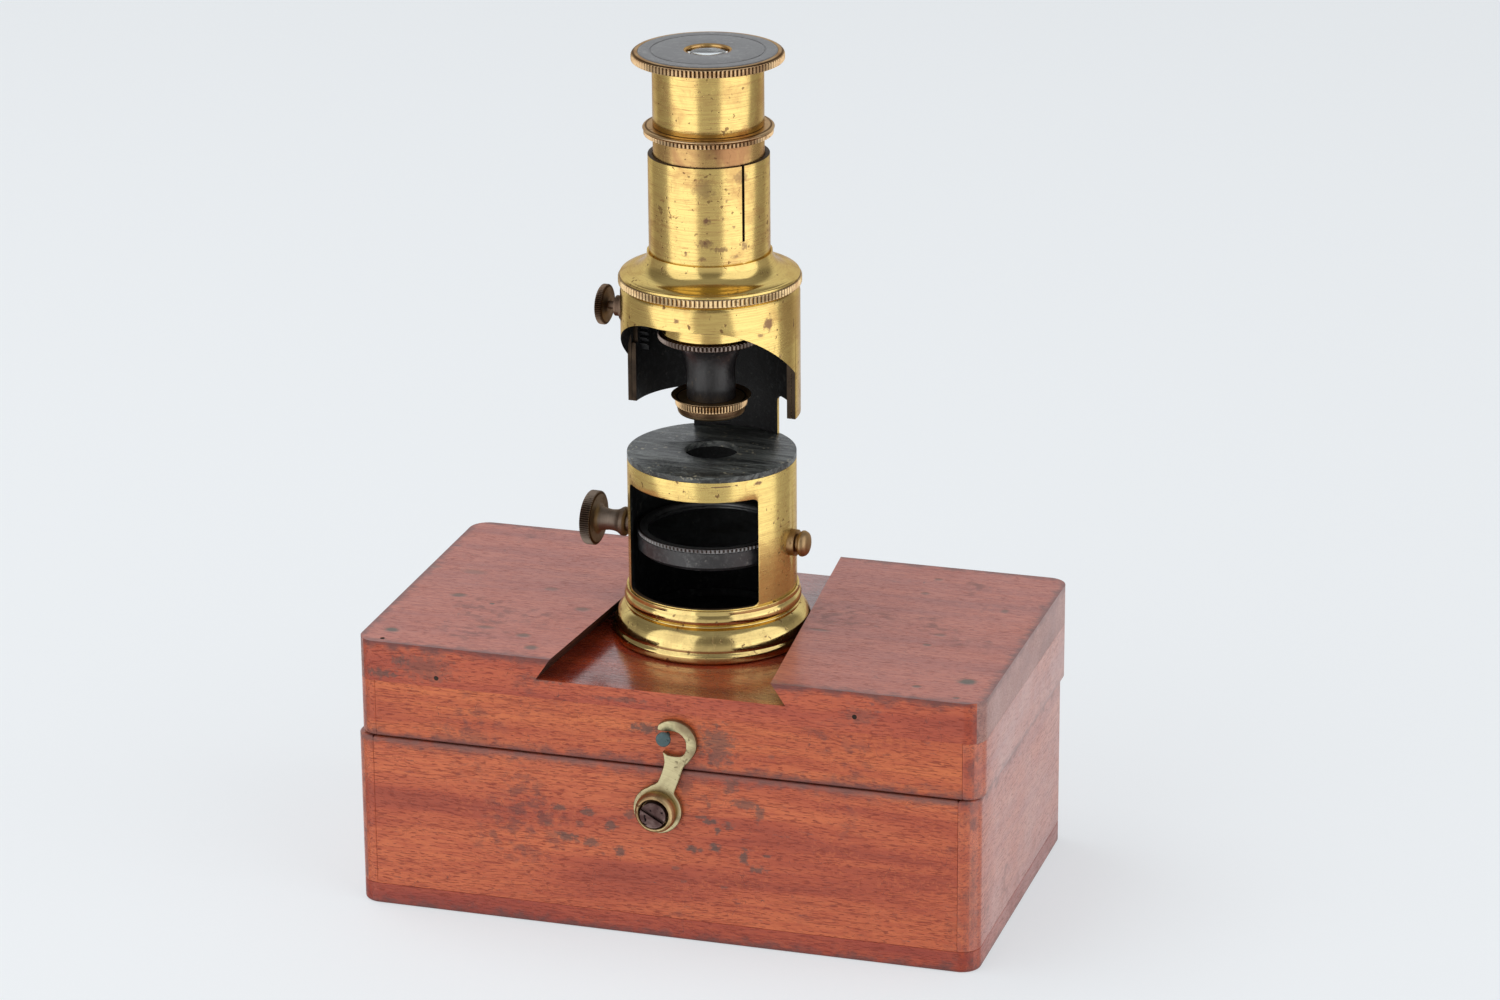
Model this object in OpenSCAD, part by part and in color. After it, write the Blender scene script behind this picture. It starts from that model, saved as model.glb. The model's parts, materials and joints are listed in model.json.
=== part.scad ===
// Pocket drum microscope standing in the dovetail groove of its wooden case.
// Millimetres, +Z up, front at -Y. The origin is the middle of the case's underside.

/* [Case] */
// Length of the case, end to end
case_length = 130; // [120:1:150]
// Depth of the case, front to back
case_depth = 72; // [66:1:84]
// Height of the lower case up to the seam
case_height = 36.8; // [34:0.2:42]
// Thickness of the front, back and end boards
board = 4; // [3:0.25:4.5]
// Thickness of the bottom board
base_thickness = 4.5; // [3:0.25:5.5]
// Radius of the upright corners
corner_radius = 4; // [2:0.5:6]
// Gap between the case and the shut lid
seam_gap = 0.3; // [0.2:0.05:0.5]
// Thickness of the two blocks that carry the stored instrument
cradle_thickness = 8; // [5:0.5:12]

/* [Lid] */
// Height of the lid's frame under its top board
frame_height = 11.9; // [10:0.1:16]
// Thickness of the lid's top board
top_thickness = 8.5; // [7.5:0.25:11]
// Depth of the dovetail groove
groove_depth = 4.5; // [3.5:0.25:5.5]
// Narrowing of each groove wall towards the back, in degrees
groove_taper = 4.9; // [2:0.1:6]
// How far each groove wall runs under its top edge
groove_undercut = 3; // [2.5:0.25:4]
// Gap between the foot and the groove's mouth, each side, where it stands
groove_clearance = 0.16; // [0.15:0.05:0.5]
// How far the lid sits to the right of the lower case
lid_offset = 0.8; // [0:0.1:1]
// Radius of the small nails in the lid
brad_radius = 0.5; // [0.3:0.1:0.8]

/* [Hinges] */
// Length of each butt hinge
hinge_length = 22; // [14:1:30]
// Distance of each hinge's middle from the case's end
hinge_inset = 27; // [18:1:32]
// Thickness of a hinge leaf
leaf_thickness = 0.8; // [0.5:0.1:1]
// Radius of the hinge barrel
barrel_radius = 1.5; // [1.3:0.1:1.8]
// Radius of the hinge pin
hinge_pin_radius = 0.6; // [0.5:0.05:0.8]
// Radius of a hinge screw's shank
hinge_screw_radius = 0.6; // [0.4:0.1:0.8]

/* [Latch] */
// Height of the hook's pivot screw above the table
latch_height = 28.3; // [24:0.1:30]
// Distance from the pivot to the middle of the hook's curl
hook_reach = 15.2; // [14:0.1:16]
// Lean of the hook's arm to the right, in degrees
hook_lean = 13.5; // [10:0.1:20]
// Outer radius of the curl
curl_radius = 4.7; // [4.2:0.1:5]
// Width of the curl's band
curl_band = 2.1; // [1.6:0.1:2.3]
// Radius of the hook's eye, which the cup washer lies on
eye_radius = 5; // [4.4:0.1:5.2]
// Thickness of the hook
hook_thickness = 1.1; // [0.8:0.1:1.6]
// Radius of the pivot screw's shank
latch_screw_radius = 1.2; // [0.8:0.1:1.5]
// Radius of the catch pin's shank
catch_radius = 0.5; // [0.4:0.05:0.6]

/* [Foot and drum] */
// Turn of the instrument in its groove, in degrees
instrument_turn = 4; // [0:1:12]
// Radius of the foot's lip
foot_radius = 20.6; // [20:0.1:20.8]
// Height of the foot, up to the top of its bead
foot_height = 10.4; // [9.5:0.1:11]
// Outer radius of the drum tube
drum_radius = 17.1; // [16.8:0.1:17.4]
// Wall of the drum tube
drum_wall = 0.9; // [0.7:0.05:1]
// Height of the stage's face above the foot's underside
stage_height = 38.7; // [37.5:0.1:40]
// Thickness of the stage plate
stage_thickness = 1.2; // [1:0.1:1.8]
// Radius of the stage's hole
stage_hole = 5.4; // [4:0.1:7]
// Half the width of the drum's window
window_half = 13.8; // [12:0.1:14.5]
// Distance from the window's top edge up to the stage's face
window_drop = 5.3; // [4.6:0.1:7]
// Half the width of the pillar at the drum's back
pillar_half = 9.1; // [7:0.1:10.5]
// How far the guide tube rises above the pinion's shaft
guide_rise = 1.2; // [1:0.1:1.5]

/* [Mirror] */
// Height of the mirror's axle
mirror_height = 21; // [20:0.1:21.4]
// Radius of the mirror cell
cell_radius = 15.3; // [14:0.1:15.4]
// Height of the mirror cell without its bezel
cell_height = 3.9; // [3.5:0.1:4]
// Height of the knurled bezel
bezel_height = 0.9; // [0.7:0.1:1.1]
// Thickness of the mirror's glass
glass_thickness = 1.2; // [1:0.1:1.5]
// Radius of the mirror's axle
axle_radius = 0.8; // [0.6:0.05:0.8]
// Radius of the mirror's knob
mirror_knob_radius = 5.6; // [4.5:0.1:6.5]

/* [Focusing] */
// Wall of the sliding shell
shell_wall = 0.8; // [0.6:0.05:1]
// Space between the stage's face and the shell's lower edge
stage_gap = 8.5; // [8:0.1:9.5]
// Length of the sliding shell, up to its cap
shell_length = 26.8; // [25:0.1:30]
// Distance from the top of the shell's arch up to the cap
arch_drop = 5; // [4:0.1:7]
// Radius of the arch's corners
arch_corner = 12; // [9:0.5:14]
// Distance from the pinion's shaft up to the cap
pinion_drop = 7; // [6.5:0.1:8]
// Radius of the pinion's shaft
pinion_shaft_radius = 0.8; // [0.6:0.05:0.9]
// Number of teeth of the pinion
pinion_teeth = 10; // [10:1:10]
// Pitch of the rack's teeth
tooth_pitch = 1.2566; // [1.2566]
// Radius of the focusing knob
focus_knob_radius = 4.1; // [3.5:0.1:4.6]
// Length of the focusing travel downwards
focus_travel = 6.5; // [4:0.1:6.5]

/* [Tubes and eyepiece] */
// Length of the sleeve
sleeve_length = 25.6; // [23:0.1:28]
// Wall of the sleeve
sleeve_wall = 1; // [0.7:0.05:1.2]
// Length of the slits in the sleeve
slit_length = 15.4; // [8:0.2:17]
// Width of the slits in the sleeve
slit_width = 0.55; // [0.3:0.05:0.8]
// Outer radius of the draw tube
draw_radius = 11.05; // [10.9:0.05:11.2]
// Wall of the draw tube
draw_wall = 0.75; // [0.6:0.05:0.85]
// Length of the draw tube, up to its knurled ring
draw_length = 38.1; // [36:0.1:38.4]
// How far the draw tube shows between the sleeve and its ring
draw_out = 3.9; // [3.7:0.1:5]
// Radius of the knurled ring
ring_radius = 13.1; // [12.6:0.1:13.8]
// Thickness of the knurled ring
ring_thickness = 1.9; // [1.5:0.1:2.4]
// Length of the eyepiece between the knurled ring and its own rim
eyepiece_length = 13.15; // [11:0.25:15]
// Radius of the eyepiece's knurled rim
rim_radius = 15.15; // [14.6:0.05:16]
// Radius of the black eyepiece disc
disc_radius = 13.8; // [13:0.1:14]
// Radius of the eye lens that shows
eye_opening = 4.2; // [3.2:0.1:5]

/* [Objective] */
// Length of the objective under the draw tube
objective_length = 19.8; // [18.5:0.1:20.1]
// Radius of the objective's lower cap
objective_cap_radius = 8.1; // [7.2:0.1:8.8]
// Radius of the objective's waist
waist_radius = 4.9; // [4.6:0.1:5.3]
// Radius of the objective's dark knurled ring
objective_ring_radius = 10.6; // [10:0.1:10.7]
// Radius of the nosepiece
nosepiece_radius = 9.9; // [9:0.1:10.2]

/* [Clearances] */
// Radial gap of a running fit
run_gap = 0.05; // [0.03:0.01:0.08]
// Gap between faces that turn or slide on each other
face_gap = 0.05; // [0.03:0.01:0.1]
// Radial gap between the sliding shell and its guide tube
shell_gap = 0.08; // [0.05:0.01:0.1]
// Gap round hinge barrels
barrel_gap = 0.2; // [0.15:0.05:0.3]

/* [Hidden] */
$fn = 72;

wood = "sienna";
brass = "goldenrod";
worn_brass = "darkgoldenrod";
bronze = "saddlebrown";
black = "dimgray";
clear = "lightblue";

// Levels of the case and its lid
lid_bottom = case_height + seam_gap;
frame_top = lid_bottom + frame_height;
lid_height = frame_top + top_thickness;
groove_floor = lid_height - groove_depth;
front_face = -case_depth / 2;
back_face = case_depth / 2;

// Stored instrument: it lies on its side over the bottom board
store_gap = 1.5;
store_axis = base_thickness + foot_radius + store_gap;
cradle_top = store_axis;
foot_cradle_x = -case_length / 2 + board + 3;
tube_cradle_x = 14;

// Hinges at the back of the seam
hinge_offset = case_length / 2 - hinge_inset;
barrel_y = back_face + 1;
barrel_z = case_height + seam_gap / 2;
knuckle_gap = 0.1;
knuckle_length = hinge_length / 3;
leaf_depth = board - 0.4;
screw_step = hinge_length / 3;
screw_length = 6;

// Latch
pivot_x = -0.4;
hook_gap = 0.3;
hook_front = front_face - hook_gap - hook_thickness;
arm_width = 3.8;
lug_reach = 0.4;
curl_x = pivot_x + hook_reach * sin(hook_lean);
curl_z = latch_height + hook_reach * cos(hook_lean);
mouth_low = curl_z - curl_radius + curl_band;
catch_x = curl_x - 1.6;
catch_z = curl_z + 1.2;
catch_head_radius = 1.5;
catch_clearance = 0.3;
catch_head_gap = 0.9;
washer_radius = eye_radius - 0.75;
washer_height = 2.6;
latch_head_radius = 2.7;

// Foot and drum
foot_bore = drum_radius + run_gap;
tube_seat = 3;
foot_web = 1.5;
lip_height = 2.2;
bead_centre = foot_height - 2.1;
neck_radius = drum_radius + 0.45;
bell_axis = neck_radius - 0.95;
bell_base = 1.6;
bell_width = foot_radius - 0.45 - bell_axis;
bell_height = bead_centre - 1.4 - bell_base;
bell_at_mouth = bell_axis + bell_width * sqrt(1 - pow((groove_depth - bell_base) / bell_height, 2));
mouth_half = (bell_at_mouth + groove_clearance) / cos(groove_taper);
drum_bore = drum_radius - drum_wall;
stage_under = stage_height - stage_thickness;
window_bottom = foot_height + 0.2;
window_top = stage_height - window_drop;

// Mirror: heights are counted from its axle
cell_bottom = -3.05;
cell_top = cell_bottom + cell_height;
bezel_top = cell_top + bezel_height;
cell_wall = 1.2;
cell_bore = cell_radius - cell_wall;
glass_bottom = cell_top - glass_thickness;
pivot_end = cell_bore + 0.1;
knob_reach = 7.7;
knob_width = 2.4;
bush_length = 1.2;

// Sliding shell and its cap, each level counted from the one below
shell_bottom = stage_height + stage_gap;
shell_top = shell_bottom + shell_length;
arch_top = shell_top - arch_drop;
pinion_height = shell_top - pinion_drop;
guide_top = pinion_height + guide_rise;
shell_bore = drum_radius + shell_gap;
shell_radius = shell_bore + shell_wall;
cap_radius = shell_radius + 0.35;
cap_roof = shell_top + 1.2;
cap_shoulder = shell_top + 2.2;
cap_slope = 1.4;
cap_slope_width = 3;
cap_flare = 3;
cap_flare_height = 3.1;
cap_flare_start = 250;
cap_neck_step = 0.4;
cap_top = cap_shoulder + cap_slope + cap_flare_height + 0.15;
sleeve_top = cap_roof + sleeve_length;
sleeve_bore = draw_radius + run_gap;
sleeve_radius = sleeve_bore + sleeve_wall;

// Pinion and rack, with the rack on the +Y side of the pinion
pitch_radius = pinion_teeth * tooth_pitch / (2 * PI);
gear_outer = 14.4;
gear_inner = gear_outer + 1.5;
tooth_depth = 0.36;
tooth_root = 0.5;
rack_pitch_y = pitch_radius + 0.06;
rack_back = rack_pitch_y + 1.9;
rack_bottom = pinion_height - focus_travel - 3;
slot_half = pinion_shaft_radius + 0.2;
bush_face = shell_radius + 0.8;
bush_end = bush_face + 1.4;
focus_knob_x = shell_radius + 4;

// Draw tube, objective and eyepiece
draw_bore = draw_radius - draw_wall;
ring_bottom = sleeve_top + draw_out;
ring_top = ring_bottom + ring_thickness;
draw_bottom = ring_bottom - draw_length;
nose_height = 2.8;
nose_bottom = draw_bottom - nose_height;
nose_spigot = 4;
nose_spigot_wall = 1;
objective_ring_height = 1.5;
objective_ring_bottom = nose_bottom - objective_ring_height;
objective_bottom = draw_bottom - objective_length;
cap_rim_height = 3.9;
cap_rim_z = objective_bottom + cap_rim_height;
cap_rim_under = 3.1;
neck_flare = 4.2;
neck_length = 6.5;
lens_bore = 3.2;
rim_bottom = ring_top + eyepiece_length;
spigot_length = 10.7;
eyepiece_bottom = ring_bottom - spigot_length;
field_opening = 5;
spigot_radius = draw_bore - run_gap;
disc_bottom = rim_bottom + 0.75;
disc_top = rim_bottom + 1.95;
rim_top = rim_bottom + 1.85;

// Points of an arc from angle a to angle b, seen as (radius, height) for a lathe outline
function arc(centre, r, a, b, n = 8) =
    [for (i = [0 : n]) let (t = a + (b - a) * i / n) centre + [r[0] * cos(t), r[1] * sin(t)]];

// A turned piece from a (radius, height) outline
module turned(outline) rotate_extrude() polygon(outline);

module tube(outer, inner, low, high)
    translate([0, 0, low]) difference() {
        cylinder(r = outer, h = high - low);
        translate([0, 0, -1]) cylinder(r = inner, h = high - low + 2);
    }

// A round bar along X, between two distances to the left of the axis (negative is right)
module bar_x(r, from, to) translate([-to, 0, 0]) rotate([0, 90, 0]) cylinder(r = r, h = to - from);

// A round bar along Y, from one place to another
module bar_y(r, from, to) translate([0, from, 0]) rotate([-90, 0, 0]) cylinder(r = r, h = to - from);

// Places the instrument, drawn from the foot's underside up, in the lid's groove
module on_lid() translate([0, 0, groove_floor + face_gap]) rotate([0, 0, -instrument_turn]) children();

module footprint(low, high)
    translate([0, 0, low]) linear_extrude(high - low) {
        square([case_length, case_depth - 2 * corner_radius], center = true);
        square([case_length - 2 * corner_radius, case_depth], center = true);
        for (sx = [-1, 1], sy = [-1, 1])
            translate([sx * (case_length / 2 - corner_radius), sy * (case_depth / 2 - corner_radius)])
                circle(r = corner_radius);
    }

// Boards of the case and of the lid's frame, between two levels
module end_board(side, low, high)
    intersection() {
        footprint(low, high);
        translate([side > 0 ? case_length / 2 - board : -case_length / 2, -case_depth, low - 1])
            cube([board, 2 * case_depth, high - low + 2]);
    }

module long_board(side, low, high)
    translate([-case_length / 2 + board, side > 0 ? back_face - board : front_face, low])
        cube([case_length - 2 * board, board, high - low]);

// Moves the lid's boards to where the lid sits
module shifted() translate([lid_offset, 0, 0]) children();

// Space for the barrels and leaves of both hinges
module hinge_recess()
    for (s = [-1, 1]) translate([s * hinge_offset - hinge_length / 2, 0, 0]) {
        translate([0, barrel_y, barrel_z]) rotate([0, 90, 0])
            cylinder(r = barrel_radius + barrel_gap, h = hinge_length);
        translate([0, back_face - leaf_depth, case_height - leaf_thickness])
            cube([hinge_length, leaf_depth + 1, seam_gap + 2 * leaf_thickness]);
    }

// One leaf, its knuckles picked by the list of thirds
module hinge_leaf(side, plate_z, own, other)
    color(worn_brass) translate([side * hinge_offset - hinge_length / 2, 0, 0]) difference() {
        union() {
            translate([0, back_face - leaf_depth, plate_z])
                cube([hinge_length, leaf_depth + 1, leaf_thickness]);
            for (k = own) translate([k * knuckle_length + knuckle_gap, barrel_y, barrel_z])
                rotate([0, 90, 0]) cylinder(r = barrel_radius, h = knuckle_length - 2 * knuckle_gap);
        }
        for (k = other) translate([k * knuckle_length - knuckle_gap, barrel_y, barrel_z])
            rotate([0, 90, 0])
                cylinder(r = barrel_radius + barrel_gap, h = knuckle_length + 2 * knuckle_gap);
        translate([-1, barrel_y, barrel_z]) rotate([0, 90, 0])
            cylinder(r = hinge_pin_radius + run_gap, h = hinge_length + 2);
        hinge_screw_places() translate([0, 0, plate_z - 1]) cylinder(r = hinge_screw_radius, h = 3);
    }

module hinge_screw_places()
    for (k = [0 : 2])
        translate([(k + 0.5) * screw_step, back_face - leaf_depth * 0.62, 0]) children();

// Shanks of the screws of both hinges, running down or up from a level
module hinge_shanks(from, to)
    for (s = [-1, 1]) translate([s * hinge_offset - hinge_length / 2, 0, 0])
        hinge_screw_places() translate([0, 0, from]) cylinder(r = hinge_screw_radius, h = to - from);

module base_board() color(wood) footprint(0, base_thickness);

module case_front()
    color(wood) difference() {
        long_board(-1, base_thickness, case_height);
        translate([pivot_x, 0, latch_height]) bar_y(latch_screw_radius, front_face - 1, front_face + board + 1);
    }

module case_back()
    color(wood) difference() {
        long_board(1, base_thickness, case_height);
        hinge_recess();
        hinge_shanks(case_height - screw_length, case_height);
    }

module case_left_end() color(wood) end_board(-1, base_thickness, case_height);
module case_right_end() color(wood) end_board(1, base_thickness, case_height);

// A block across the case, hollowed for the round body that it carries
module cradle(x, r)
    color(wood) difference() {
        translate([x, front_face + board, base_thickness])
            cube([cradle_thickness, case_depth - 2 * board, cradle_top - base_thickness]);
        translate([x - 1, 0, store_axis]) rotate([0, 90, 0])
            cylinder(r = r + store_gap / 4, h = cradle_thickness + 2);
    }

module foot_cradle() cradle(foot_cradle_x, foot_radius);
module tube_cradle() cradle(tube_cradle_x, shell_radius);

module hinge_leaf_lower_left() hinge_leaf(-1, case_height - leaf_thickness, [0, 2], [1]);
module hinge_leaf_lower_right() hinge_leaf(1, case_height - leaf_thickness, [0, 2], [1]);
module hinge_leaf_upper_left() hinge_leaf(-1, lid_bottom, [1], [0, 2]);
module hinge_leaf_upper_right() hinge_leaf(1, lid_bottom, [1], [0, 2]);

module hinge_pins()
    color(worn_brass) for (s = [-1, 1])
        translate([s * hinge_offset - hinge_length / 2, barrel_y, barrel_z])
            rotate([0, 90, 0]) cylinder(r = hinge_pin_radius, h = hinge_length);

module lower_hinge_screws() color(worn_brass) hinge_shanks(case_height - screw_length, case_height);
module upper_hinge_screws() color(worn_brass) hinge_shanks(lid_bottom, lid_bottom + screw_length);

// Cup washer that stands on the hook's eye
module latch_washer()
    color(brass) translate([pivot_x, 0, latch_height]) difference() {
        bar_y(washer_radius, hook_front - face_gap - washer_height, hook_front - face_gap);
        bar_y(latch_head_radius + 0.4, hook_front - face_gap - washer_height - 1,
            hook_front - face_gap - washer_height + 1.2);
        bar_y(latch_screw_radius, hook_front - washer_height, hook_front + 1);
    }

module latch_screw()
    color(bronze) translate([pivot_x, 0, latch_height]) {
        head_back = hook_front - face_gap - washer_height + 1.2;
        bar_y(latch_screw_radius, head_back - 0.5, front_face + board);
        difference() {
            bar_y(latch_head_radius, head_back - 1.6, head_back);
            rotate([0, 30, 0]) translate([-latch_head_radius - 1, head_back - 2, -0.35])
                cube([2 * latch_head_radius + 2, 1, 0.7]);
        }
    }

// Space of the tapered dovetail groove, open at both ends
module groove()
    difference() {
        translate([-2 * mouth_half, -case_depth, groove_floor])
            cube([4 * mouth_half, 2 * case_depth, groove_depth + 1]);
        for (s = [0, 1]) mirror([s, 0, 0])
            translate([mouth_half, 0, lid_height]) rotate([0, 0, groove_taper])
                rotate([0, -atan(groove_undercut / groove_depth), 0])
                    translate([0, -2 * case_depth, -2 * case_depth])
                        cube([2 * case_depth, 4 * case_depth, 4 * case_depth]);
    }

// Nails: two in the front edge of the top board, one in its face near a corner
front_brads = [[-47, 6.6], [40, 5.2]];
brad_length = 9;
top_brad_x = -case_length / 2 + 6;
module brads() {
    for (b = front_brads)
        translate([b[0], 0, lid_height - b[1]]) bar_y(brad_radius, front_face, front_face + brad_length);
    translate([top_brad_x, front_face + board / 2, lid_height - brad_length + 1])
        cylinder(r = brad_radius, h = brad_length - 1);
}

module lid_top()
    color(wood) difference() {
        shifted() footprint(frame_top, lid_height);
        groove();
        brads();
    }

module lid_brads() color(bronze) brads();

module lid_front()
    color(wood) difference() {
        shifted() long_board(-1, lid_bottom, frame_top);
        translate([catch_x, 0, catch_z]) bar_y(catch_radius, front_face - 1, front_face + board + 1);
    }

module lid_back()
    color(wood) difference() {
        shifted() long_board(1, lid_bottom, frame_top);
        hinge_recess();
        hinge_shanks(lid_bottom, lid_bottom + screw_length);
    }

module lid_left_end() color(wood) shifted() end_board(-1, lid_bottom, frame_top);
module lid_right_end() color(wood) shifted() end_board(1, lid_bottom, frame_top);

// Headed pin on the lid: the hook passes behind its head
module catch_pin()
    color("darkseagreen") translate([catch_x, 0, catch_z]) {
        bar_y(catch_radius, hook_front - catch_head_gap - 0.1, front_face + board);
        bar_y(catch_head_radius, hook_front - catch_head_gap - 1, hook_front - catch_head_gap);
    }

// Hook: eye, waisted arm and open curl, lying just off the front face
module latch_hook()
    color(brass) translate([0, front_face - hook_gap, 0]) rotate([90, 0, 0])
        linear_extrude(hook_thickness) difference() {
            union() {
                translate([pivot_x, latch_height]) circle(r = eye_radius);
                translate([pivot_x, latch_height]) rotate(-hook_lean)
                    translate([-arm_width / 2, 0]) square([arm_width, hook_reach - curl_radius + 1]);
                translate([curl_x, curl_z]) circle(r = curl_radius);
            }
            translate([pivot_x, latch_height]) circle(r = latch_screw_radius + run_gap);
            translate([curl_x, curl_z]) circle(r = curl_radius - curl_band);
            // Mouth towards the pin, which lifts straight up past the tip
            translate([curl_x - 2 * curl_radius, mouth_low])
                square([2 * curl_radius, catch_z + catch_radius + catch_clearance - mouth_low]);
            translate([curl_x - 2 * curl_radius, mouth_low])
                square([catch_x + catch_radius + catch_clearance - curl_x + 2 * curl_radius, 3 * curl_radius]);
            // The lip under the mouth ends just outside the arm
            translate([curl_x, curl_z]) rotate(-hook_lean) translate([-2 * curl_radius, -2 * curl_radius])
                square([2 * curl_radius - arm_width / 2 - lug_reach, 2 * curl_radius]);
        }

// Bell foot: rounded lip, convex bell, neck and bead, with a socket for the drum tube
module foot()
    color(brass) on_lid() union() {
        turned(concat(
            [[0, 0], [foot_radius - 0.5, 0], [foot_radius, 0.5], [foot_radius, lip_height - 0.5]],
            [[foot_radius - 0.35, lip_height]],
            arc([bell_axis, bell_base], [bell_width, bell_height],
                asin((lip_height + 0.2 - bell_base) / bell_height), acos(0.95 / bell_width)),
            [[neck_radius, foot_height], [foot_bore, foot_height], [foot_bore, tube_seat]],
            [[foot_bore - 1.6, tube_seat], [foot_bore - 1.6, foot_web], [0, foot_web]]));
        difference() {
            translate([0, 0, bead_centre]) rotate_extrude()
                translate([drum_radius - 0.95, 0]) circle(r = 1.85, $fn = 36);
            translate([0, 0, -1]) cylinder(r = foot_bore, h = foot_height + 2);
        }
    }

// Space under the arch: front half only, square-shouldered with round corners
module arch(low)
    rotate([90, 0, 0]) linear_extrude(2 * shell_radius) {
        translate([-arch_flat, low]) square([2 * arch_flat, arch_top - low]);
        translate([-2 * shell_radius, low]) square([4 * shell_radius, arch_top - arch_corner - low]);
        for (s = [-1, 1]) translate([s * arch_flat, arch_top - arch_corner]) circle(r = arch_corner);
    }
arch_flat = shell_radius - arch_corner;

module window()
    rotate([90, 0, 0]) linear_extrude(2 * drum_radius) {
        r = 1;
        translate([-window_half, window_bottom + r])
            square([2 * window_half, window_top - window_bottom - 2 * r]);
        translate([-window_half + r, window_bottom])
            square([2 * (window_half - r), window_top - window_bottom]);
        for (s = [-1, 1], z = [window_bottom + r, window_top - r])
            translate([s * (window_half - r), z]) circle(r = r);
    }

// Everything beside the pillar between the stage and the guide tube, with round inner corners
module beside_pillar() {
    r = 1.5;
    side = 2 * drum_radius;
    rotate([-90, 0, 0]) linear_extrude(side) for (s = [-1, 1]) {
        translate([s > 0 ? pillar_half : -pillar_half - side, -shell_bottom + r])
            square([side, shell_bottom - stage_under - r]);
        translate([s > 0 ? pillar_half + r : -pillar_half - r - side, -shell_bottom])
            square([side, shell_bottom - stage_under]);
        translate([s * (pillar_half + r), -shell_bottom + r]) circle(r = r);
    }
}

// Drum, pillar and guide tube in one: the tube is cut away round the stage
module drum_tube()
    color(brass) on_lid() difference() {
        tube(drum_radius, drum_bore, tube_seat + face_gap, guide_top);
        window();
        arch(stage_under);
        beside_pillar();
        translate([0, 0, mirror_height]) bar_x(axle_radius, -2 * drum_radius, 2 * drum_radius);
        // Way for the pinion's shaft, open to the arch and to the top
        translate([-2 * drum_radius, -2 * drum_radius, pinion_height - focus_travel - slot_half])
            cube([2 * drum_radius, 2 * drum_radius + slot_half, guide_top]);
    }

module stage_plate()
    color(black) on_lid() difference() {
        union() {
            difference() {
                translate([0, 0, stage_under]) cylinder(r = drum_radius, h = stage_thickness);
                intersection() {
                    tube(drum_radius + 1, drum_bore - run_gap, stage_under - 1, stage_height + 1);
                    translate([-pillar_half - run_gap, 0, stage_under - 1])
                        cube([2 * (pillar_half + run_gap), 2 * drum_radius, stage_thickness + 2]);
                }
            }
            tube(drum_bore - run_gap, drum_bore - 1.5, stage_under - 2, stage_under);
        }
        translate([0, 0, stage_under - 1]) cylinder(r = stage_hole, h = stage_thickness + 2);
    }

// Toothed strip soldered inside the guide tube, beside the pinion's slot
module focus_rack() {
    first = floor((rack_bottom - pinion_height) / tooth_pitch) + 1;
    last = floor((guide_top - pinion_height - 0.5) / tooth_pitch - 0.5);
    color(brass) on_lid() intersection() {
        cylinder(r = drum_bore, h = guide_top);
        translate([-drum_radius, 0, 0]) rotate([90, 0, 90])
            linear_extrude(drum_radius - gear_outer) {
                translate([rack_pitch_y + tooth_root, rack_bottom])
                    square([rack_back - rack_pitch_y - tooth_root, guide_top - rack_bottom]);
                for (k = [first : last]) translate([rack_pitch_y, pinion_height + (k + 0.5) * tooth_pitch])
                    polygon([[-tooth_depth, -0.12], [tooth_root, -0.42], [tooth_root + 0.1, -0.42],
                        [tooth_root + 0.1, 0.42], [tooth_root, 0.42], [-tooth_depth, 0.12]]);
            }
    }
}

module axle_bush_left()
    color(worn_brass) on_lid() difference() {
        translate([0, 0, mirror_height]) bar_x(2, 0, drum_radius + bush_length);
        cylinder(r = drum_radius, h = stage_height);
        translate([0, 0, mirror_height]) bar_x(axle_radius + run_gap, 0, 2 * drum_radius);
    }

module axle_bush_right()
    color(worn_brass) on_lid() difference() {
        translate([0, 0, mirror_height]) bar_x(2.7, -drum_radius - bush_length, 0);
        cylinder(r = drum_radius, h = stage_height);
        translate([0, 0, mirror_height]) bar_x(axle_radius + run_gap, -2 * drum_radius, 0);
    }

// The mirror's pieces are drawn round its axle
module at_axle() on_lid() translate([0, 0, mirror_height]) children();

module mirror_shaft()
    color(bronze) at_axle() bar_x(axle_radius - run_gap, pivot_end, knob_outer - 0.4);
knob_inner = drum_radius + knob_reach;
knob_outer = knob_inner + knob_width;

module mirror_knob()
    color(bronze) at_axle() rotate([0, -90, 0]) turned(concat(
        [[axle_radius - run_gap, drum_radius + bush_length + face_gap], [2.6, drum_radius + bush_length + face_gap]],
        [[3, drum_radius + bush_length + 0.5], [3, drum_radius + bush_length + 1.2], [2.3, drum_radius + 3.3]],
        [[2.1, drum_radius + 5], [2.4, knob_inner - 0.6], [3, knob_inner]],
        arc([mirror_knob_radius - 0.8, knob_inner + 0.8], [0.8, 0.8], -90, 0, 4),
        arc([mirror_knob_radius - 0.8, knob_outer - 0.8], [0.8, 0.8], 0, 90, 4),
        [[0, knob_outer], [0, knob_outer - 0.4], [axle_radius - run_gap, knob_outer - 0.4]]));

// Round-headed screw that is the mirror's right-hand pivot
module pivot_screw()
    color(worn_brass) at_axle() rotate([0, 90, 0]) turned([
        [0, pivot_end], [axle_radius - run_gap, pivot_end],
        [axle_radius - run_gap, drum_radius + bush_length + face_gap],
        [1.9, drum_radius + bush_length + face_gap], [1.9, drum_radius + bush_length + 0.6],
        [2.6, drum_radius + bush_length + 0.8], [2.7, drum_radius + bush_length + 1.3],
        [2.3, drum_radius + bush_length + 2.2], [1.2, drum_radius + bush_length + 2.5],
        [0, drum_radius + bush_length + 2.5]]);

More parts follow.
